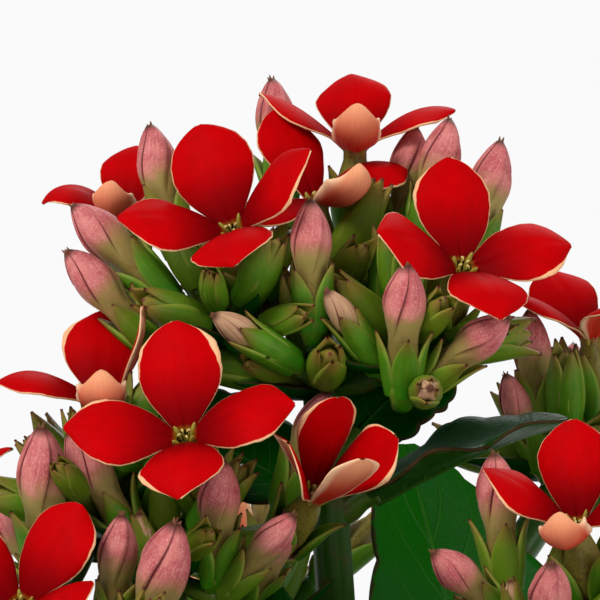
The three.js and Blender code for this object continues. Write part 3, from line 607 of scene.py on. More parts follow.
def petal_material():
    """Velvety red above, darkened by painted shade towards the throat, peach below, with a fine cream
    edge.
    """
    m = Material("petal", Specular_IOR_Level=0.02)
    along, edge = m.value("along"), m.edge()
    veins = m.streaks(9.0, 0.9, 1.6)
    patches = m.noise(2.6)
    red = m.blend(patches, (164, 0, 2), (198, 0, 5))
    red = m.coat(red, (150, 0, 6), m.step(veins, 0.45, 0.8), 0.35)
    # Painted shade: the red above darkens towards the throat, the hollow where the petals meet.
    red = m.coat(red, (92, 0, 4), m.step(along, 0.5, 0.02), 0.8)
    red = m.coat(red, (140, 110, 24), m.step(along, 0.035, 0.0), 0.5)
    under = m.blend(m.step(along, 0.2, 0.95), (190, 34, 18), (236, 166, 122))
    under = m.coat(under, (214, 104, 70), m.step(veins, 0.45, 0.75), 0.5)
    under = m.blend(m.step(edge, 0.6, 0.98), under, (244, 200, 160))
    # The cream band reaches as far in as each point's tone says, unevenly.
    ragged = m.noise(0.5)
    over = m.plus(m.waver(edge, ragged, 0.035), m.minus(m.value("tone"), 1.0))
    rim = m.blend(patches, (232, 160, 110), (246, 204, 158))
    top = m.blend(m.step(over, -0.012, 0.012), red, rim)
    skin = m.blend(m.step(m.value("side"), 0.25, 0.75), under, top)
    dry = m.step(m.waver(along, ragged, 0.035), 0.985, 0.995)
    m.rough(0.5, patches, 0.16)
    relief = m.plus(m.times(m.noise(0.09, 1.0), 0.35), veins)
    return m.finish(m.blend(dry, skin, (120, 70, 44)), relief, 0.05, 0.45)


def tube_material():
    """The flower's tube: olive with brown speckles, yellow-green in its mouth."""
    m = Material("flower_tube", Roughness=0.45, Specular_IOR_Level=0.35)
    along = m.value("along")
    skin = m.blend(m.noise(1.4), (110, 112, 36), (142, 124, 52))
    skin = m.coat(skin, (92, 52, 28), m.step(m.noise(0.28, 1.0), 0.56, 0.66), 0.6)
    skin = m.blend(m.step(along, 0.46, 0.62), skin, (158, 88, 48))
    skin = m.blend(m.step(along, 0.62, 0.72), skin, (150, 18, 14))
    skin = m.blend(m.step(along, 0.78, 0.86), skin, (92, 88, 18))
    return m.finish(skin, m.noise(0.5), 0.05, 0.5)


def anther_material():
    """Olive-yellow folds, threads and anthers in the throat."""
    m = Material("anther", Roughness=0.5, Specular_IOR_Level=0.3)
    olive = m.blend(m.noise(0.5), (140, 120, 30), (176, 158, 62))
    pale = m.blend(m.noise(0.25), (190, 166, 80), (222, 204, 122))
    skin = m.blend(m.step(m.value("tone"), 0.4, 0.8), olive, pale)
    return m.finish(skin, m.noise(0.15), 0.03, 0.6)


def bud_material():
    """Dusty pink petals rolled up in the bud, faintly streaked, over an olive tube."""
    m = Material("bud", Specular_IOR_Level=0.18, Sheen_Weight=0.04, Sheen_Roughness=0.5)
    along, tone = m.value("along"), m.value("tone")
    streak = m.streaks(22.0, 3.0, 1.5, tone)
    patch = m.noise(2.2, 3.0)
    fine = m.noise(0.22)
    ripe = m.blend(m.step(patch, 0.35, 0.7), (176, 76, 80), (206, 119, 113))
    ripe = m.coat(ripe, (234, 163, 156), m.step(streak, 0.4, 0.8), 0.35)
    ripe = m.coat(ripe, (240, 178, 170), m.step(fine, 0.5, 0.7), 0.3)
    unripe = m.blend(patch, (164, 134, 88), (208, 166, 132))
    unripe = m.coat(unripe, (150, 84, 70), m.step(streak, 0.42, 0.7), 0.6)
    limb = m.blend(m.step(tone, 0.3, 0.65), unripe, ripe)
    # The petals' colour fades to a dull olive towards the neck.
    place = m.waver(along, patch, 0.22)
    neck = m.blend(patch, (134, 132, 58), (170, 136, 86))
    limb = m.blend(m.step(place, 0.72, 0.5), limb, neck)
    tube = m.blend(m.noise(0.9), (104, 104, 36), (140, 112, 58))
    tube = m.coat(tube, (98, 52, 34), m.step(m.noise(0.26, 1.0), 0.57, 0.68), 0.5)
    skin = m.blend(m.step(place, 0.3, 0.5), tube, limb)
    skin = m.blend(m.step(m.value("side"), 0.35, 0.95), skin, (112, 40, 42))
    skin = m.blend(m.step(along, 0.93, 1.0), skin, (84, 44, 30))
    m.rough(0.46, patch, 0.2)
    return m.finish(skin, m.plus(streak, m.times(fine, 0.5)), 0.06, 0.5)


def bud_tip_material():
    """Dry brown points at a bud's tip."""
    m = Material("bud_tip", Roughness=0.7, Specular_IOR_Level=0.2)
    return m.finish(m.blend(m.noise(0.3), (52, 30, 24), (150, 96, 66)), m.noise(0.15), 0.03, 0.6)


def sepal_material():
    """Fleshy green sepals and bracts: lighter edges, brown-pink tips, some ripened to olive."""
    m = Material("sepal", Specular_IOR_Level=0.22)
    along = m.value("along")
    patch = m.noise(2.4, 3.0)
    fresh = m.blend(patch, (46, 104, 4), (94, 148, 22))
    fresh = m.blend(m.step(along, 0.4, 0.0), fresh, (48, 134, 6))
    ripe = m.blend(patch, (80, 114, 10), (118, 138, 28))
    green = m.blend(m.step(m.value("tone"), 0.15, 0.95), fresh, ripe)
    streak = m.streaks(5.0, 1.5, 1.6, patch)
    green = m.coat(green, (112, 136, 36), m.step(streak, 0.45, 0.75), 0.4)
    green = m.coat(green, (152, 160, 62), m.step(m.edge(), 0.7, 0.98), 0.5)
    tip = m.step(m.waver(along, patch, 0.25), 0.62, 0.98)
    green = m.coat(green, (148, 94, 54), tip, 0.6)
    green = m.blend(m.step(along, 0.955, 0.99), green, (104, 52, 38))
    dots = m.step(m.noise(0.3, 1.0), 0.6, 0.7)
    m.rough(0.4, patch, 0.2)
    relief = m.plus(streak, m.times(m.noise(0.2), 0.6))
    return m.finish(m.coat(green, (96, 70, 34), dots, 0.25), relief, 0.06, 0.5)


def stalk_material():
    """The small stalks inside a head: dark glossy green, flushed brown in places."""
    m = Material("stalk", Roughness=0.34, Specular_IOR_Level=0.25)
    streak = m.streaks(3.0, 1.0, 2.0)
    green = m.blend(streak, (20, 62, 6), (58, 104, 22))
    green = m.blend(m.step(m.value("tone"), 0.3, 0.9), green, (92, 108, 30))
    brown = m.step(m.noise(2.4, 4.0), 0.54, 0.7)
    return m.finish(m.coat(green, (92, 66, 38), brown, 0.5), m.plus(streak, m.noise(0.3)), 0.05, 0.5)


def leaf_material(name, shine):
    """Thick glossy leaves: dark green above, paler below, purple-brown edge."""
    m = Material(name, Specular_IOR_Level=shine)
    along, edge, tone = m.value("along"), m.edge(), m.value("tone")
    patch = m.noise(7.0, 3.0)
    top = m.blend(patch, (2, 48, 4), (10, 74, 6))
    top = m.coat(top, (18, 112, 4), tone, 0.7)
    # Side veins run out and forward from the midrib.
    forward = m.minus(m.times(along, 9.0), m.times(edge, 2.4))
    wave = m.math("SINE", m.times(forward, 2 * math.pi))
    vein = m.times(m.step(wave, 0.86, 1.0), m.step(edge, 0.98, 0.3))
    lines = m.math("MAXIMUM", m.times(vein, 0.5), m.step(edge, 0.05, 0.015))
    top = m.coat(top, (70, 124, 40), lines, 0.35)
    below = m.blend(tone, (12, 58, 8), (62, 130, 26))
    below = m.coat(below, (84, 136, 44), patch, 0.4)
    below = m.coat(below, (104, 150, 64), lines, 0.3)
    skin = m.blend(m.step(m.value("side"), 0.25, 0.75), below, top)
    border = m.step(m.waver(edge, m.noise(1.5), 0.14), 0.965, 0.995)
    m.rough(0.26, m.noise(3.0), 0.16)
    relief = m.minus(m.times(m.noise(0.5), 0.3), lines)
    return m.finish(m.coat(skin, (66, 36, 28), border, 0.8), relief, 0.25, 0.6)


def stem_material():
    """Thick green stems, paler along one side, with a little brown."""
    m = Material("stem", Roughness=0.3, Specular_IOR_Level=0.25)
    streak = m.streaks(6.0, 1.0, 2.0)
    green = m.blend(streak, (8, 70, 6), (36, 108, 18))
    brown = m.step(m.noise(3.5, 4.0), 0.56, 0.7)
    return m.finish(m.coat(green, (96, 84, 50), brown, 0.4), m.plus(streak, m.noise(0.4)), 0.06, 0.5)


def pot_material():
    """Moulded terracotta-coloured plastic: fine grain, faint mould rings, dull scuffs."""
    m = Material("pot_plastic", Specular_IOR_Level=0.4)
    clay = m.blend(m.noise(14.0, 4.0), (158, 78, 48), (176, 92, 58))
    clay = m.coat(clay, (128, 60, 38), m.step(m.noise(0.6), 0.66, 0.76), 0.3)
    dust = m.step(m.noise(22.0, 5.0, 0.7), 0.56, 0.78)
    m.rough(0.5, dust, 0.18)
    height = m.node("ShaderNodeSeparateXYZ", {0: m.coordinates}).outputs[2]
    ring_gap = 1.2 * MM
    rings = m.math("SINE", m.times(height, 2 * math.pi / ring_gap))
    relief = m.plus(m.times(rings, 0.12), m.noise(0.35, 3.0))
    return m.finish(m.coat(clay, (198, 140, 112), dust, 0.22), relief, 0.06, 0.5)


def soil_material():
    """Dark crumbly peat with paler fibres and a few pale grains."""
    m = Material("soil", Roughness=0.95, Specular_IOR_Level=0.2)
    grain = m.noise(0.8, 5.0, 0.7)
    peat = m.blend(m.step(grain, 0.35, 0.7), (34, 23, 16), (78, 55, 38))
    peat = m.coat(peat, (122, 92, 62), m.step(m.noise(0.35), 0.64, 0.72), 0.5)
    peat = m.blend(m.step(m.value("tone"), 0.85, 0.95), peat, (214, 208, 196))
    return m.finish(peat, grain, 0.6, 0.8)


def petal(shell, bloom, index, chance):
    """One petal: the same middle line and width as in the solids, finely shaped."""
    axis, size = bloom["frame"][0], bloom["size"]
    out = around(bloom["frame"], bloom["roll"] + 90 * index)
    across = np.cross(axis, out)
    rows, columns = PETAL_GRIDS[bloom["near"]]
    lift, curl = bloom["lifts"][index], bloom["curls"][index]
    inwards = min(1, max(0, -curl / BEND["shut_from"]))
    u = np.linspace(0, 1, 80)
    slope = (lift - curl * u**2 + inwards * CURLED_IN["tip_roll"] * u**5) * DEGREE
    # Rows lie closer together towards the tip, where the outline turns.
    place = 1 - (1 - np.linspace(0, 1, rows)) ** 1.5
    slope, reach, height = bent_line(slope, PETAL["length"] * size, place)
    reach = reach + PETAL["root"]
    line = bloom["mouth"] + np.outer(reach, out) + np.outer(height, axis)
    twist = chance.between(-10, 10) * DEGREE * place
    side = swing(twist, across, swing(slope, axis, -out))
    normal = np.cross(swing(slope, out, axis), side)
    crimp = 1 + 0.014 * np.sin(place * 47 + chance.between(0, 6)) * place
    crimp = crimp + 0.022 * np.sin(place * 14 + chance.between(0, 6)) * place
    blunt = chance.between(0.65, 0.95) if index == 0 or inwards > 0 else chance.between(0, 0.3)
    share = outline(PETAL_PLACES, mix(POINTED, BLUNT, blunt), place)
    half = PETAL["half_width"] * size * share * crimp * mix(1, CURLED_IN["width"], inwards)
    # The petal bends round as an arc, flatter near its foot.
    bend = mix(BEND["open"], BEND["shut"], inwards) * np.clip(place * 2.5, 0.35, 1)
    # Room to its neighbours is an eighth of a turn to each side.
    inward = np.sin(bend) / bend + np.maximum(0, (1 - np.cos(bend)) / bend * np.sin(slope))
    half = (half**-6.0 + (reach * 1.06 / inward) ** -6.0) ** (-1 / 6)
    half, bend, place = half[:, None], bend[:, None], place[:, None]
    v = np.linspace(-1, 1, columns)
    rise = half * (1 - np.cos(bend * v)) / bend
    # Near the tip its margins may roll a little.
    rolled = [max(0, chance.between(-0.12, 0.17)) for _ in range(2)]
    band = 0.022 + hump(place, 0.78, 0.2) * np.where(v < 0, *rolled)
    ridge = np.clip((np.abs(v) - 1 + band) / band, 0, 1)
    rise = rise + 0.55 * np.where(band > 0.08, band, 0) * half * np.sin(ridge * 2.2)
    rise = rise + 0.22 * np.sin(place * 9 + chance.between(0, 6) + v * 1.6) * v**2 * place
    # A crease runs up the middle from the throat.
    rise = rise - 0.2 * hump(v, 0, 0.1) * (1 - place) ** 0.7
    thickness = PETAL["thickness"] * np.sqrt(1 - 0.8 * v**2) * (1 - 0.45 * place**3)
    shell.blade(line, side, normal, half * np.sin(bend * v) / bend, rise, thickness, "petal", band)


def bloom_piece(name, bloom, materials, seed):
    """An open flower: petals, tube, and the folds, threads and anthers in its throat."""
    chance = Chance(seed)
    shell = Shell("petal", "tube", "anther")
    frame, mouth, roll = bloom["frame"], bloom["mouth"], bloom["roll"]
    axis = frame[0]
    for index in range(4):
        petal(shell, bloom, index, chance)
    angle = angles(24)
    across = around(frame, roll)
    lobes = (1 + 0.07 * np.cos(4 * angle)) * bloom["size"]
    ring = lobes[:, None] * swing(angle, across, np.cross(axis, across))
    loops = [mouth + axis * h * bloom["size"] + radius * ring for h, radius in zip(*TUBE_OUTLINE)]
    along = np.linspace(0, 1, len(loops))[:, None]
    shell.loft(np.array(loops), "tube", along, closed=True)
    for k in range(4):
        # Four olive folds stand between the petals, with a curled stamen beside each.
        lean = around(frame, roll + 45 + 90 * k)
        foot = mouth + lean * 0.85 - axis * 0.9
        tip = foot + axis * chance.between(1.5, 2.0) + lean * chance.between(0.35, 0.7)
        fold = curve_through([foot, (foot + tip) / 2 - lean * 0.08, tip], 8)
        shell.rod(fold, [0.22, 0.27, 0.3, 0.3, 0.28, 0.24, 0.18, 0.06], "anther", 0.2, 10)
        lean = around(frame, roll + 90 * k + chance.between(10, 30))
        foot = mouth - axis * 1.6 + lean * 0.3
        tip = mouth + axis * chance.between(0.1, 0.7) + lean * 0.5
        thread = curve_through([foot, (foot + tip) / 2 - lean * 0.1, tip], 6)
        shell.rod(thread, [0.09] * 6, "anther", 0.5, 6)
        head = curve_through([tip - lean * 0.24, tip + axis * 0.2, tip + lean * 0.28], 9)
        swell = 0.14 * np.sin(np.linspace(0.2, math.pi - 0.15, 9))
        shell.rod(head, swell, "anther", 0.9, 8)
    return shell.piece(name, materials)


def sepal(shell, base, frame, angle, size, form, tone, chance, paint="sepal"):
    """One fleshy, boat-shaped sepal. form: inner radius, flare, height and half width."""
    axis = frame[0]
    inner, flare, height, wide = form
    out = around(frame, angle + chance.between(-6, 6))
    across = np.cross(axis, out)
    rows, columns = SEPAL_GRID
    t = np.linspace(0, 1, rows)
    flare = flare + chance.between(-0.3, 0.35)
    hook = chance.between(-0.3, 0.6)
    reach = (inner - 0.6 * (1 - t) ** 3 + flare * t**2 + hook * t**6) * size
    up = (-1 + (height + 1 + chance.between(-0.5, 0.5)) * t) * size
    lean = chance.between(-0.5, 0.5) * size * t**2
    line = base + np.outer(reach, out) + np.outer(up, axis) + np.outer(lean, across)
    outward = np.cross(across, unit(np.gradient(line, axis=0)))
    outward *= np.sign(outward @ out)[:, None]
    half = wide * size * outline(*SEPAL_OUTLINE, t)[:, None]
    t = t[:, None]
    v = np.linspace(-1, 1, columns)
    # The edges bend back round what the sepal holds, so it is a shallow boat.
    bend = 0.95
    sideways = half * np.sin(bend * v) / bend
    drop = half * (1 - np.cos(bend * v)) / bend - 0.12 * size * hump(v, 0, 0.25) * (1 - t)
    thickness = 0.7 * size * np.sqrt(1 - 0.8 * v**2) * (1 - 0.55 * t**2)
    shell.blade(line, across, outward, sideways, -drop, thickness, paint, tone)


def stalk(shell, forks, base, below, axis, tone, radius=0.85):
    """A slightly bowed stalk from the nearest fork to below the base of a flower or bud."""
    fork = min(forks, key=lambda f: np.linalg.norm(f - base))
    under = base - axis * below
    bow = (fork + under) / 2 - (axis * 0.04 + UP * 0.03) * np.linalg.norm(under - fork)
    path = curve_through([fork, bow, under], 12)
    shell.rod(path, radius * (1 + 0.35 * np.linspace(0, 1, 12) ** 4), "stalk", tone, 12)


def calyx(shell, bloom, forks, chance):
    """The stalk, receptacle and sepals under an open flower."""
    frame, roll = bloom["frame"], bloom["roll"]
    axis = frame[0]
    base = bloom["mouth"] - axis * TUBE_LENGTH * bloom["size"]
    tone = chance.between(0, 0.6)
    stalk(shell, forks, base, 2.6, axis, tone)
    shell.knob(base, axis, 1, [-2.9, -2.2, -1.4, -0.7, -0.35], [1, 1.35, 2, 2.3, 2], tone, 20)
    for k in range(4):
        sepal(shell, base, frame, roll + 45 + 90 * k, 1, SEPALS["flower"], tone, chance)


def rolled_bud(shell, base, frame, roll, size, ripe, near, chance):
    """Four petals rolled round each other on their tube, with small free tips.

    ripe runs from 0 to 1; up to a half the bud is still slim.
    """
    axis = frame[0]
    t = np.linspace(0, 1, BUD_ROWS[near])
    height = BUD_LENGTH * t
    radius = outline(*BUD_OUTLINE, height) * (1 if ripe > 0.5 else 0.84)
    offsets = BUD_COLUMNS if near else BUD_COLUMNS[::2]
    turn = np.tile(offsets, 4)
    quarter = np.repeat(np.arange(4), len(offsets))
    # The petals leave their tube at the neck. There they begin to lap and to turn.
    limb = np.clip((height - 4.9) / 2.4, 0, 1)[:, None]
    spiral = chance.between(0.75, 1.2) * np.clip((height - 5) / 7.5, 0, 1)[:, None]
    angle = (turn + quarter) * math.pi / 2 + spiral
    # Each petal's outer edge laps over the next, so a seam is a small sharp step.
    lap = (0.15 * turn - 0.075) * limb
    seam = np.interp(turn, [0, 0.03, 0.1, 0.97, 1], [1, 0.7, 0, 0, 0.4]) * limb
    square = 0.04 * np.cos(4 * (angle - spiral)) * (1 - limb)
    wide = radius[:, None] * size * (1 + lap + square - 0.04 * seam)
    across = around(frame, roll)
    bend = chance.between(-0.7, 0.7) * size * np.clip(t - 0.4, 0, 1) ** 2
    centre = base + np.outer(height * size, axis) + np.outer(bend, across)
    loops = centre[:, None] + wide[..., None] * swing(angle, across, np.cross(axis, across))
    shell.loft(loops, "bud", t[:, None], (turn + quarter) / 2 - 1, seam, ripe, True)
    for k in range(4):
        lean = around(frame, roll + 90 * k + 45)
        foot = centre[-1] + (lean * 0.12 - axis * 0.35) * size
        tip = foot + (axis * chance.between(0.5, 0.9) + lean * chance.between(0.0, 0.4)) * size
        thin = np.array([0.2, 0.16, 0.04]) * size
        shell.rod([foot, (foot + tip) / 2, tip], thin, "bud_tip", 1.0, 6)


def bud(greens, pinks, item, forks, chance):
    """An unopened bud: its stalk and sepals, and the rolled petals on their tube."""
    frame, roll, size = item["frame"], item["roll"], item["size"]
    axis = frame[0]
    base = item["tip"] - axis * BUD_LENGTH * size
    tone = chance.between(0, 0.8)
    stalk(greens, forks, base, 2.2 * size, axis, tone, 0.6 + 0.25 * size)
    heights, widths = [-2.6, -1.7, -0.9, -0.1, 0.4], [0.95, 1.15, 1.6, 1.75, 1.5]
    greens.knob(base, axis, size, heights, widths, tone, 18)
    kind = "ripe" if size > RIPE_ABOVE else "closed" if size <= CLOSED_TO else "unripe"
    ripe = chance.between(0.7, 1) if kind == "ripe" else chance.between(0, 0.3)
    for k in range(4):
        sepal(greens, base, frame, roll + 45 + 90 * k, size, SEPALS[kind], tone, chance)
    # In closed sepals the bud itself is a little smaller, so that it stays inside.
    inside = 0.9 * size if kind == "closed" else size
    rolled_bud(pinks, base, frame, roll, inside, ripe, item["near"], chance)


def young_bud(shell, fork, direction, reach, size, chance):
    """A bud still closed in its four sepals, whose thin tips stand apart."""
    frame = pointing(direction)
    base = fork + direction * (reach - 6.5 * size)
    tone = chance.between(0.3, 1)
    stalk(shell, [fork], base, 1.5 * size, direction, tone, 0.7)
    heights = [-1.9, -1.1, 0, 1.8, 3.4, 4.8, 6, 6.8]
    widths = [0.7, 1.1, 1.55, 1.8, 1.65, 1.2, 0.6, 0.1]
    shell.knob(base, direction, size, heights, widths, tone, 12)
    roll = chance.between(0, 90)
    inner, flare, height, wide = SEPALS["young"]
    for k in range(4):
        form = (inner, flare + chance.between(0, 0.8), height, wide)
        sepal(shell, base, frame, roll + 90 * k, size, form, tone, chance)


def gap_between(start, end, segment):
    """The least distance between a line and a segment, read at a few points."""
    mine = mix(start, end, np.linspace(0.25, 1, 6)[:, None])
    theirs = mix(*segment, np.linspace(0, 1, 8)[:, None])
    return np.linalg.norm(mine[:, None] - theirs[None], axis=-1).min()


def young_buds(shell, head, chance, wanted):
    """Young buds in the room left between a head's flowers and buds."""
    # What takes up room, as segments: tubes with their mouths, petals, and buds.
    taken = []
    for item in head["blooms"]:
        mouth, axis = item["mouth"], item["frame"][0]
        taken.append((mouth - axis * 11, mouth + axis * 3))
        for k, (lift, curl) in enumerate(zip(item["lifts"], item["curls"])):
            out = around(item["frame"], item["roll"] + 90 * k)
            steep = (lift - curl / 4) * DEGREE
            for lean in (-0.35, 0, 0.35):
                way = swing(steep, out + lean * np.cross(axis, out), axis)
                taken.append((mouth, mouth + way * PETAL["length"] * item["size"]))
    for item in head["buds"]:
        taken.append((item["tip"] - item["frame"][0] * 14 * item["size"], item["tip"]))
    made = 0
    # The largest are tried first, while there is room for them.
    for size in np.linspace(*YOUNG_BUDS["sizes"], YOUNG_BUDS["tries"]):
        if made == wanted:
            return
        fork = head["forks"][int(chance.between(0, len(head["forks"]) - 0.01))]
        direction = facing(chance.between(-180, 180), chance.between(8, 80))[0]
        reach = chance.between(8, 12) + 2.5 * size
        tip = fork + direction * reach
        if min(gap_between(fork, tip, segment) for segment in taken) < 0.9 + 1.5 * size:
            continue
        young_bud(shell, fork, direction, reach, size, chance)
        taken.append((fork + direction * 4, tip))
        made += 1


def bracts(shell, fork, chance):
    """Small dark leafy bracts at a fork, every second one larger."""
    for k in range(BRACTS):
        turn = 360 * k / BRACTS + chance.between(-25, 25)
        frame = facing(turn, chance.between(15, 42) if k % 2 else chance.between(-18, 25))
        size = chance.between(0.85, 1.15)
        base = fork + frame[0] * 1.5 - UP
        form = SEPALS["small_bract" if k % 2 else "large_bract"]
        roll = 180 + chance.between(-30, 30)
        sepal(shell, base, frame, roll, size, form, 0.0, chance, "stalk_leaf")


def leaf(shell, form, grid, paints, chance):
    """One thick scalloped leaf on its stalk, along the same middle line as the solid."""
    out = facing(form["azimuth"], 0)[0]
    level = np.cross(UP, out)
    rows, columns = grid
    start = form["rise"] * DEGREE
    foot = form["base"]
    knee = foot + form["reach"] * 0.8 * swing(start + 0.1, out, UP)
    root = knee + form["reach"] * 0.3 * swing(start, out, UP)
    slope = (form["rise"] - form["droop"] * np.linspace(0, 1, 120) ** 2) * DEGREE
    place = np.linspace(0, 1, rows)
    slope, along, up = bent_line(slope, form["length"], place)
    line = root + np.outer(along, out) + np.outer(up, UP)
    tangent = swing(slope, out, UP)
    across = swing(form["bank"] * DEGREE, level, np.cross(tangent, level))
    normal = np.cross(tangent, across)
    teeth = 6.5
    scallop = np.abs(np.sin(math.pi * teeth * place)) ** 0.7
    notch = 0.085 * (1 - scallop) * np.sin(math.pi * place) ** 0.5
    half = form["width"] / 2 * (outline(*LEAF_OUTLINE, place) - notch)[:, None]
    place = place[:, None]
    v = np.linspace(-1, 1, columns)
    rim = np.abs(v)
    cup = -0.22 * rim**1.25 - 0.03 * np.cos(5 * math.pi * place) * rim**3
    wave = chance.between(0.3, 0.7) * np.sin(place * 11 + 2.2 * v + chance.between(0, 6))
    drop = half * cup + wave * rim**2 * np.sin(math.pi * place)
    # The midrib is a groove above and a keel below.
    drop = drop + 0.35 * hump(v, 0, 0.05) * (1 - 0.7 * place)
    keel = 1 + 1.1 * hump(v, 0, 0.07) * (1 - place)
    thickness = 1.15 * np.sqrt(1 - 0.86 * v**2) * keel * (1 - 0.35 * place)
    tone = form.get("tone", chance.between(0.1, 1))
    shell.blade(line, across, normal, half * v, -drop, thickness, paints[0], tone)
    path = curve_through([foot, (foot + knee) / 2 - UP * 0.3, knee, line[2]], 16)
    shell.rod(path, np.linspace(1.75, 1.15, 16), paints[1], 0.5)


def stem_path(stem):
    """The points of a stem, from inside the crown to its top."""
    x, y, z = stem["top"]
    foot = np.array([x * 0.1, y * 0.1, CROWN["bottom"] + 8])
    belly = np.array([x * 0.8, y * 0.8, mix(foot[2], z, 0.5)])
    return [foot, belly, np.array([x, y, z - 3.0]), np.array([x, y, float(z)])]


def stem_at(path, height):
    """The place on a stem at a height."""
    i = max(1, next(k for k, p in enumerate(path) if p[2] >= height))
    a, b = path[i - 1], path[i]
    return mix(a, b, (height - a[2]) / (b[2] - a[2]))


def seen(place):
    """The true place of a thing seen from the EYE, from its depth and where it looks to be."""
    across, depth, up = place
    spread = 1 + depth / EYE["distance"]
    return np.array([across * spread, depth, EYE["height"] + up * spread])


def read_head(head):
    """Reads a head's rows into named values."""
    blooms, buds = [], []
    for row in head["blooms"]:
        mouth, (azimuth, elevation, roll), size, lifts, curls = row[:5]
        values = {"mouth": seen(mouth), "roll": roll, "size": size, "lifts": lifts, "curls": curls}
        blooms.append({**values, "frame": facing(azimuth, elevation), "near": len(row) > 5})
    for i, row in enumerate(head["buds"]):
        tip, below = seen(row[0]), seen(row[1])
        values = {"tip": tip, "frame": pointing(tip - below), "size": row[2]}
        buds.append({**values, "roll": BUD_TURN * i, "near": len(row) > 3})
    return {**head, "forks": [seen(f) for f in head["forks"]], "blooms": blooms, "buds": buds}


def dome_head(dome):
    """The flowers and buds of a head set out by a rule, as in the solids."""
    axis, up, side = facing(*dome["lean"])

    def towards(tilt, turn):
        return swing(tilt * DEGREE, axis, swing((dome["turn"] + turn) * DEGREE, up, side))

    fork = np.array(dome["fork"], float)
    blooms, buds = [], []
    for i in range(3):
        direction = towards(DOME["bloom_tilt"], 120 * i)
        values = {"mouth": fork + direction * DOME["bloom_reach"], "frame": pointing(direction)}
        values["lifts"] = [random(36, 50) for _ in range(4)]
        values["curls"] = [random(30, 65) for _ in range(4)]
        values["roll"] = random(0, 90)
        values["size"] = random(0.92, 1)
        blooms.append({**values, "near": False})
    for tilt, turn, reach in DOME["buds"]:
        for i in range(1 if tilt < 10 else 3):
            direction = towards(tilt + random(-4, 4), turn + 120 * i)
            values = {"tip": fork + direction * reach, "frame": pointing(direction)}
            values["size"] = reach / 22 + random(-0.08, 0.02)
            buds.append({**values, "roll": BUD_TURN * len(buds), "near": False})
    return {**dome, "forks": [fork], "blooms": blooms, "buds": buds}


def head_pieces(head, materials, seed):
    """The green parts of a head, and its buds as a second piece."""
    chance = Chance(seed)
    greens, pinks = Shell("sepal", "stalk", "stalk_leaf"), Shell("bud", "bud_tip")
    forks = head["forks"]
    root = np.array([*head["root"], STEMS[head["stem"]]["top"][2] + CLEARANCE])
    bend = mix(root, forks[0], 0.4) + UP * 2
    main = curve_through([root, root + UP * 2.5, bend, forks[0] - UP, forks[0] + UP * 1.6], 40)
    t = np.linspace(0, 1, len(main))
    swell = 2.0 - 0.15 * t + 0.35 * hump(t, 0.93, 0.05)
    swell[-3:] *= [0.95, 0.8, 0.5]
    greens.rod(main, swell, "stalk", 0.15, 24)
    for fork in forks[1:]:
        path = curve_through([forks[0], mix(forks[0], fork, 0.5) - UP, fork, fork + UP * 1.4], 20)
        thick = 1.2 + 0.5 * hump(np.linspace(0, 1, len(path)), 0.8, 0.12)
        thick[-2:] *= [0.8, 0.5]
        greens.rod(path, thick, "stalk", 0.3, 18)
    for fork in forks:
        bracts(greens, fork, chance)
    for item in head["blooms"]:
        calyx(greens, item, forks, chance)
    for item in head["buds"]:
        bud(greens, pinks, item, forks, chance)
    usual = YOUNG_BUDS["first"] + YOUNG_BUDS["each_fork"] * len(forks)
    young_buds(greens, head, chance, head.get("young", usual))
    if head["name"] == STALK_LEAVES["head"]:
        reach = STALK_LEAVES["reach"]
        for base, *rest in STALK_LEAVES["leaves"]:
            form = {"base": np.array(base), "reach": reach, **dict(zip(LEAF_NAMES, rest))}
            leaf(greens, form, STALK_LEAF_GRID, ("stalk_leaf", "stalk"), chance)
    made = greens.piece(head["name"] + "_green", materials)
    return made, pinks.piece(head["name"] + "_buds", materials)


def foliage_piece(materials):
    """The crown, the stems and all their leaves."""
    shell = Shell("leaf", "stem")
    swell = [0.8, 0.95, 1, 1, 0.98, 0.95, 0.88, 0.76, 0.5]
    crown = [UP * z for z in np.linspace(CROWN["bottom"], CROWN["top"], len(swell))]
    shell.rod(crown, CROWN["radius"] * np.array(swell), "stem", 0.8, 28)
    stems = [stem_path(stem) for stem in STEMS]
    for stem, path in zip(STEMS, stems):
        t = np.linspace(0, 1, 60)
        flare = np.clip((t - 0.93) / 0.07, 0, 1) ** 2
        wide = STEM_RADIUS + 0.18 * hump(t * 5 % 1, 0.5, 0.12)
        wide = wide + (stem["radius"] - STEM_RADIUS) * flare
        shell.rod(curve_through(path, len(t)), wide, "stem", 0.2, 24)
    places = []
    for i in range(LEAVES["count"]):
        share = i / (LEAVES["count"] - 1)
        azimuth = (i * LEAVES["turn"]) % 360
        out = facing(azimuth, 0)[0]
        ways = [stem_at(path, mix(LEAVES["low"], LEAVES["high"], share)) for path in stems]
        place = {"base": max(ways, key=lambda p: p @ out), "azimuth": azimuth}
        place["length"] = mix(*LEAVES["length"], share) * random(0.92, 1.05)
        place["width"] = mix(*LEAVES["width"], share) * random(0.92, 1.05)
        place["rise"] = mix(*LEAVES["rise"], share) + random(-5, 5)
        place["droop"] = mix(*LEAVES["droop"], share) + random(-6, 6)
        place["bank"] = random(-9, 9)
        place["reach"] = LEAVES["reach"] * random(0.85, 1.15)
        places.append(place)
    for stem, height, *rest in UPPER_LEAVES:
        base = stem_at(stems[stem], height)
        places.append({"base": base, "reach": 8, **dict(zip(LEAF_NAMES, rest))})
    for i, place in enumerate(places):
        leaf(shell, place, LEAF_GRID, ("leaf", "stem"), Chance(SEEDS["leaves"] + i))
    return shell.piece("foliage_look", materials)


def rounded(corners, radius, steps=5):
    """A profile with each inner corner rounded off."""
    made = [corners[0]]
    for before, corner, after in zip(corners, corners[1:], corners[2:]):
        b, c, a = (np.array(p, float) for p in (before, corner, after))
        into = min(radius, np.linalg.norm(c - b) * 0.45, np.linalg.norm(a - c) * 0.45)
        start, end = c + unit(b - c) * into, c + unit(a - c) * into
        for t in np.linspace(0, 1, steps):
            made.append((1 - t) ** 2 * start + 2 * t * (1 - t) * c + t**2 * end)
    return [*made, corners[-1]]


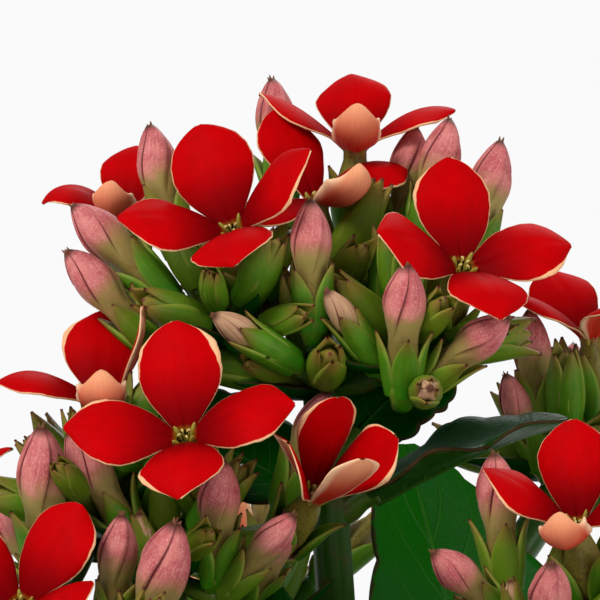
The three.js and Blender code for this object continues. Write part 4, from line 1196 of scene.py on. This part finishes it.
def pot_piece(materials):
    """The pot, turned with rounded corners, and its drain holes."""
    p = POT
    shoulder = p["height"] - p["rim_height"]
    corners = [
        (0.01, 0),
        (p["base_radius"] - 0.2, 0),
        (p["top_radius"] - 1, shoulder),
        (p["rim_radius"], shoulder + 1),
        (p["rim_radius"], p["height"]),
        (p["top_radius"] - 0.6, p["height"]),
        (p["top_radius"] - p["wall"], shoulder),
        (p["base_radius"] - p["wall"], p["foot"]),
        (0.01, p["foot"]),
    ]
    ring = swing(angles(POT_LOOK["sides"]), np.array([1.0, 0, 0]), np.array([0, 1.0, 0]))
    profile = rounded(corners, POT_LOOK["corner"])
    loops = np.array([ring * radius + UP * height for radius, height in profile])
    shell = Shell("pot")
    shell.loft(loops, "pot")
    pot = shell.piece("pot_look", materials)
    # The first and last loops are so small that this makes each of them one point.
    weld = pot.modifiers.new("weld", "WELD")
    weld.merge_threshold = 0.02 * MM
    for angle in angles(POT_LOOK["drains"]) + math.pi / 4:
        x, y = p["drain_at"] * math.cos(angle), p["drain_at"] * math.sin(angle)
        bpy.ops.mesh.primitive_cylinder_add(
            vertices=32,
            radius=p["drain_radius"] * MM,
            depth=POT_LOOK["drill_depth"] * MM,
            location=(x * MM, y * MM, 0),
        )
        drill = bpy.context.object
        cut = pot.modifiers.new("drain", "BOOLEAN")
        cut.object = drill
        cut.solver = "EXACT"
        settle(pot)
        bpy.data.objects.remove(drill)
    return pot


def settle(piece):
    """Applies a piece's modifiers."""
    graph = bpy.context.evaluated_depsgraph_get()
    mesh = bpy.data.meshes.new_from_object(piece.evaluated_get(graph))
    piece.modifiers.clear()
    piece.data = mesh


def soil_piece(materials):
    """Crumbly soil: an uneven top, with loose crumbs and a few pale grains on it."""
    chance = Chance(SEEDS["soil"])
    wall = POT["top_radius"] - POT["wall"] - 0.5
    foot = POT["base_radius"] - POT["wall"] - 0.5
    bottom = POT["foot"] + 0.4
    rows = [(0.01, bottom), (foot, bottom), (wall - 0.1, POT["height"] - POT["rim_height"])]
    rows += [(r, SOIL_TOP) for r in np.linspace(wall, 0.05, 60)]
    loops = []
    for radius, height in rows:
        loop = []
        for a in angles(180):
            x, y = radius * math.cos(a), radius * math.sin(a)
            lift = 0.0
            if height == SOIL_TOP:
                for most, level, fine in SOIL_WAVES:
                    lift += most * noise.noise(Vector((x, y, level)) * fine)
                lift -= 0.8 * max(0, (radius - 40) / 8)
            loop.append((x, y, min(height + lift, SOIL_TOP + 0.7)))
        loops.append(loop)
    shell = Shell("soil")
    shell.loft(np.array(loops), "soil", tone=0.2)
    for k in range(CRUMBS["count"]):
        radius = wall * math.sqrt(chance.between(0.03, 0.9))
        a = chance.between(0, 2 * math.pi)
        size = chance.between(0.35, 1.1)
        centre = np.array([radius * math.cos(a), radius * math.sin(a), SOIL_TOP - 0.4])
        spin = chance.between(0, 6)
        tall = [centre + UP * size * h for h in (-0.6, -0.25, 0.2, 0.5)]
        wide = np.array([0.45, 0.95, 0.9, 0.35]) * size * chance.between(0.7, 1.2)
        tone = 0.3 if k % CRUMBS["pale_every"] else 1.0
        first = np.array([math.cos(spin), math.sin(spin), 0])
        shell.rod(tall, wide, "soil", tone, 6, first)
    return shell.piece("soil_look", materials)


def add_light(name, place, energy, size, colour):
    """A soft round light that points at the plant."""
    data = bpy.data.lights.new(name, "AREA")
    data.energy = energy
    data.color = colour
    data.shape = "DISK"
    data.size = size
    light = bpy.data.objects.new(name, data)
    light.location = place
    light.rotation_euler = (Vector(LIT_POINT) - Vector(place)).to_track_quat("-Z", "Y").to_euler()
    light.visible_camera = False
    bpy.context.scene.collection.objects.link(light)


def surroundings():
    """A white room. It lights the plant dimly, so it isn't flat, and shines in it less still."""
    world = bpy.data.worlds.new("studio")
    world.use_nodes = True
    nodes, link = world.node_tree.nodes, world.node_tree.links.new
    shown = nodes["Background"]
    shown.inputs["Color"].default_value = (0.955, 0.955, 0.965, 1)
    way = nodes.new("ShaderNodeLightPath")
    for ray, strength in ROOM.items():
        dim = nodes.new("ShaderNodeBackground")
        dim.inputs["Color"].default_value = (0.93, 0.95, 1, 1)
        dim.inputs["Strength"].default_value = strength
        either = nodes.new("ShaderNodeMixShader")
        link(way.outputs[ray], either.inputs[0])
        link(shown.outputs[0], either.inputs[1])
        link(dim.outputs[0], either.inputs[2])
        shown = either
    link(shown.outputs[0], nodes["World Output"].inputs["Surface"])
    bpy.context.scene.world = world


def studio():
    """The floor, the white surroundings, the soft lights and the camera."""
    scene = bpy.context.scene
    scene.view_settings.view_transform = "Standard"
    scene.view_settings.look = "None"
    surroundings()
    bpy.ops.mesh.primitive_circle_add(vertices=96, radius=1.4, fill_type="NGON")
    floor = bpy.context.object
    floor.name = "floor"
    m = Material("floor_paper", Roughness=0.9, Specular_IOR_Level=0.2)
    m.set("Base Color", m.blend(m.noise(400.0), (244, 244, 245), (250, 250, 251)))
    floor.data.materials.append(m.made)
    for light in LIGHTS:
        add_light(**light)
    data = bpy.data.cameras.new("camera")
    data.sensor_width = 36
    data.lens = 300
    data.clip_start = 0.02
    data.clip_end = 60
    camera = bpy.data.objects.new("camera", data)
    camera.location = (0, -EYE["distance"] * MM, EYE["height"] * MM)
    camera.rotation_euler = (math.pi / 2, 0, 0)
    scene.collection.objects.link(camera)
    scene.camera = camera


def main():
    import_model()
    materials = {
        "petal": petal_material(),
        "tube": tube_material(),
        "anther": anther_material(),
        "bud": bud_material(),
        "bud_tip": bud_tip_material(),
        "sepal": sepal_material(),
        "stalk": stalk_material(),
        "leaf": leaf_material("leaf", 0.11),
        "stalk_leaf": leaf_material("stalk_leaf", 0.03),
        "stem": stem_material(),
        "pot": pot_material(),
        "soil": soil_material(),
    }
    heads = [*map(read_head, HEADS), *map(dome_head, DOMES)]
    seed = 0
    for head in heads:
        for i, bloom in enumerate(head["blooms"]):
            seed += 1
            node = head["name"].replace("head", "bloom") + str(i + 1)
            flower = bloom_piece(node + "_look", bloom, materials, seed)
            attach(flower, "root")
            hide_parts(node)
        greens, pinks = head_pieces(head, materials, SEEDS["heads"] + seed)
        for made, slot in ((greens, "flower_stalks"), (pinks, "petals")):
            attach(made, "root")
            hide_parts(head["name"])
    solids = (
        (foliage_piece(materials), "foliage"),
        (pot_piece(materials), "pot"),
        (soil_piece(materials), "soil"),
    )
    for made, node in solids:
        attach(made, "root")
        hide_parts(node)
    studio()
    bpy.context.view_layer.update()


main()
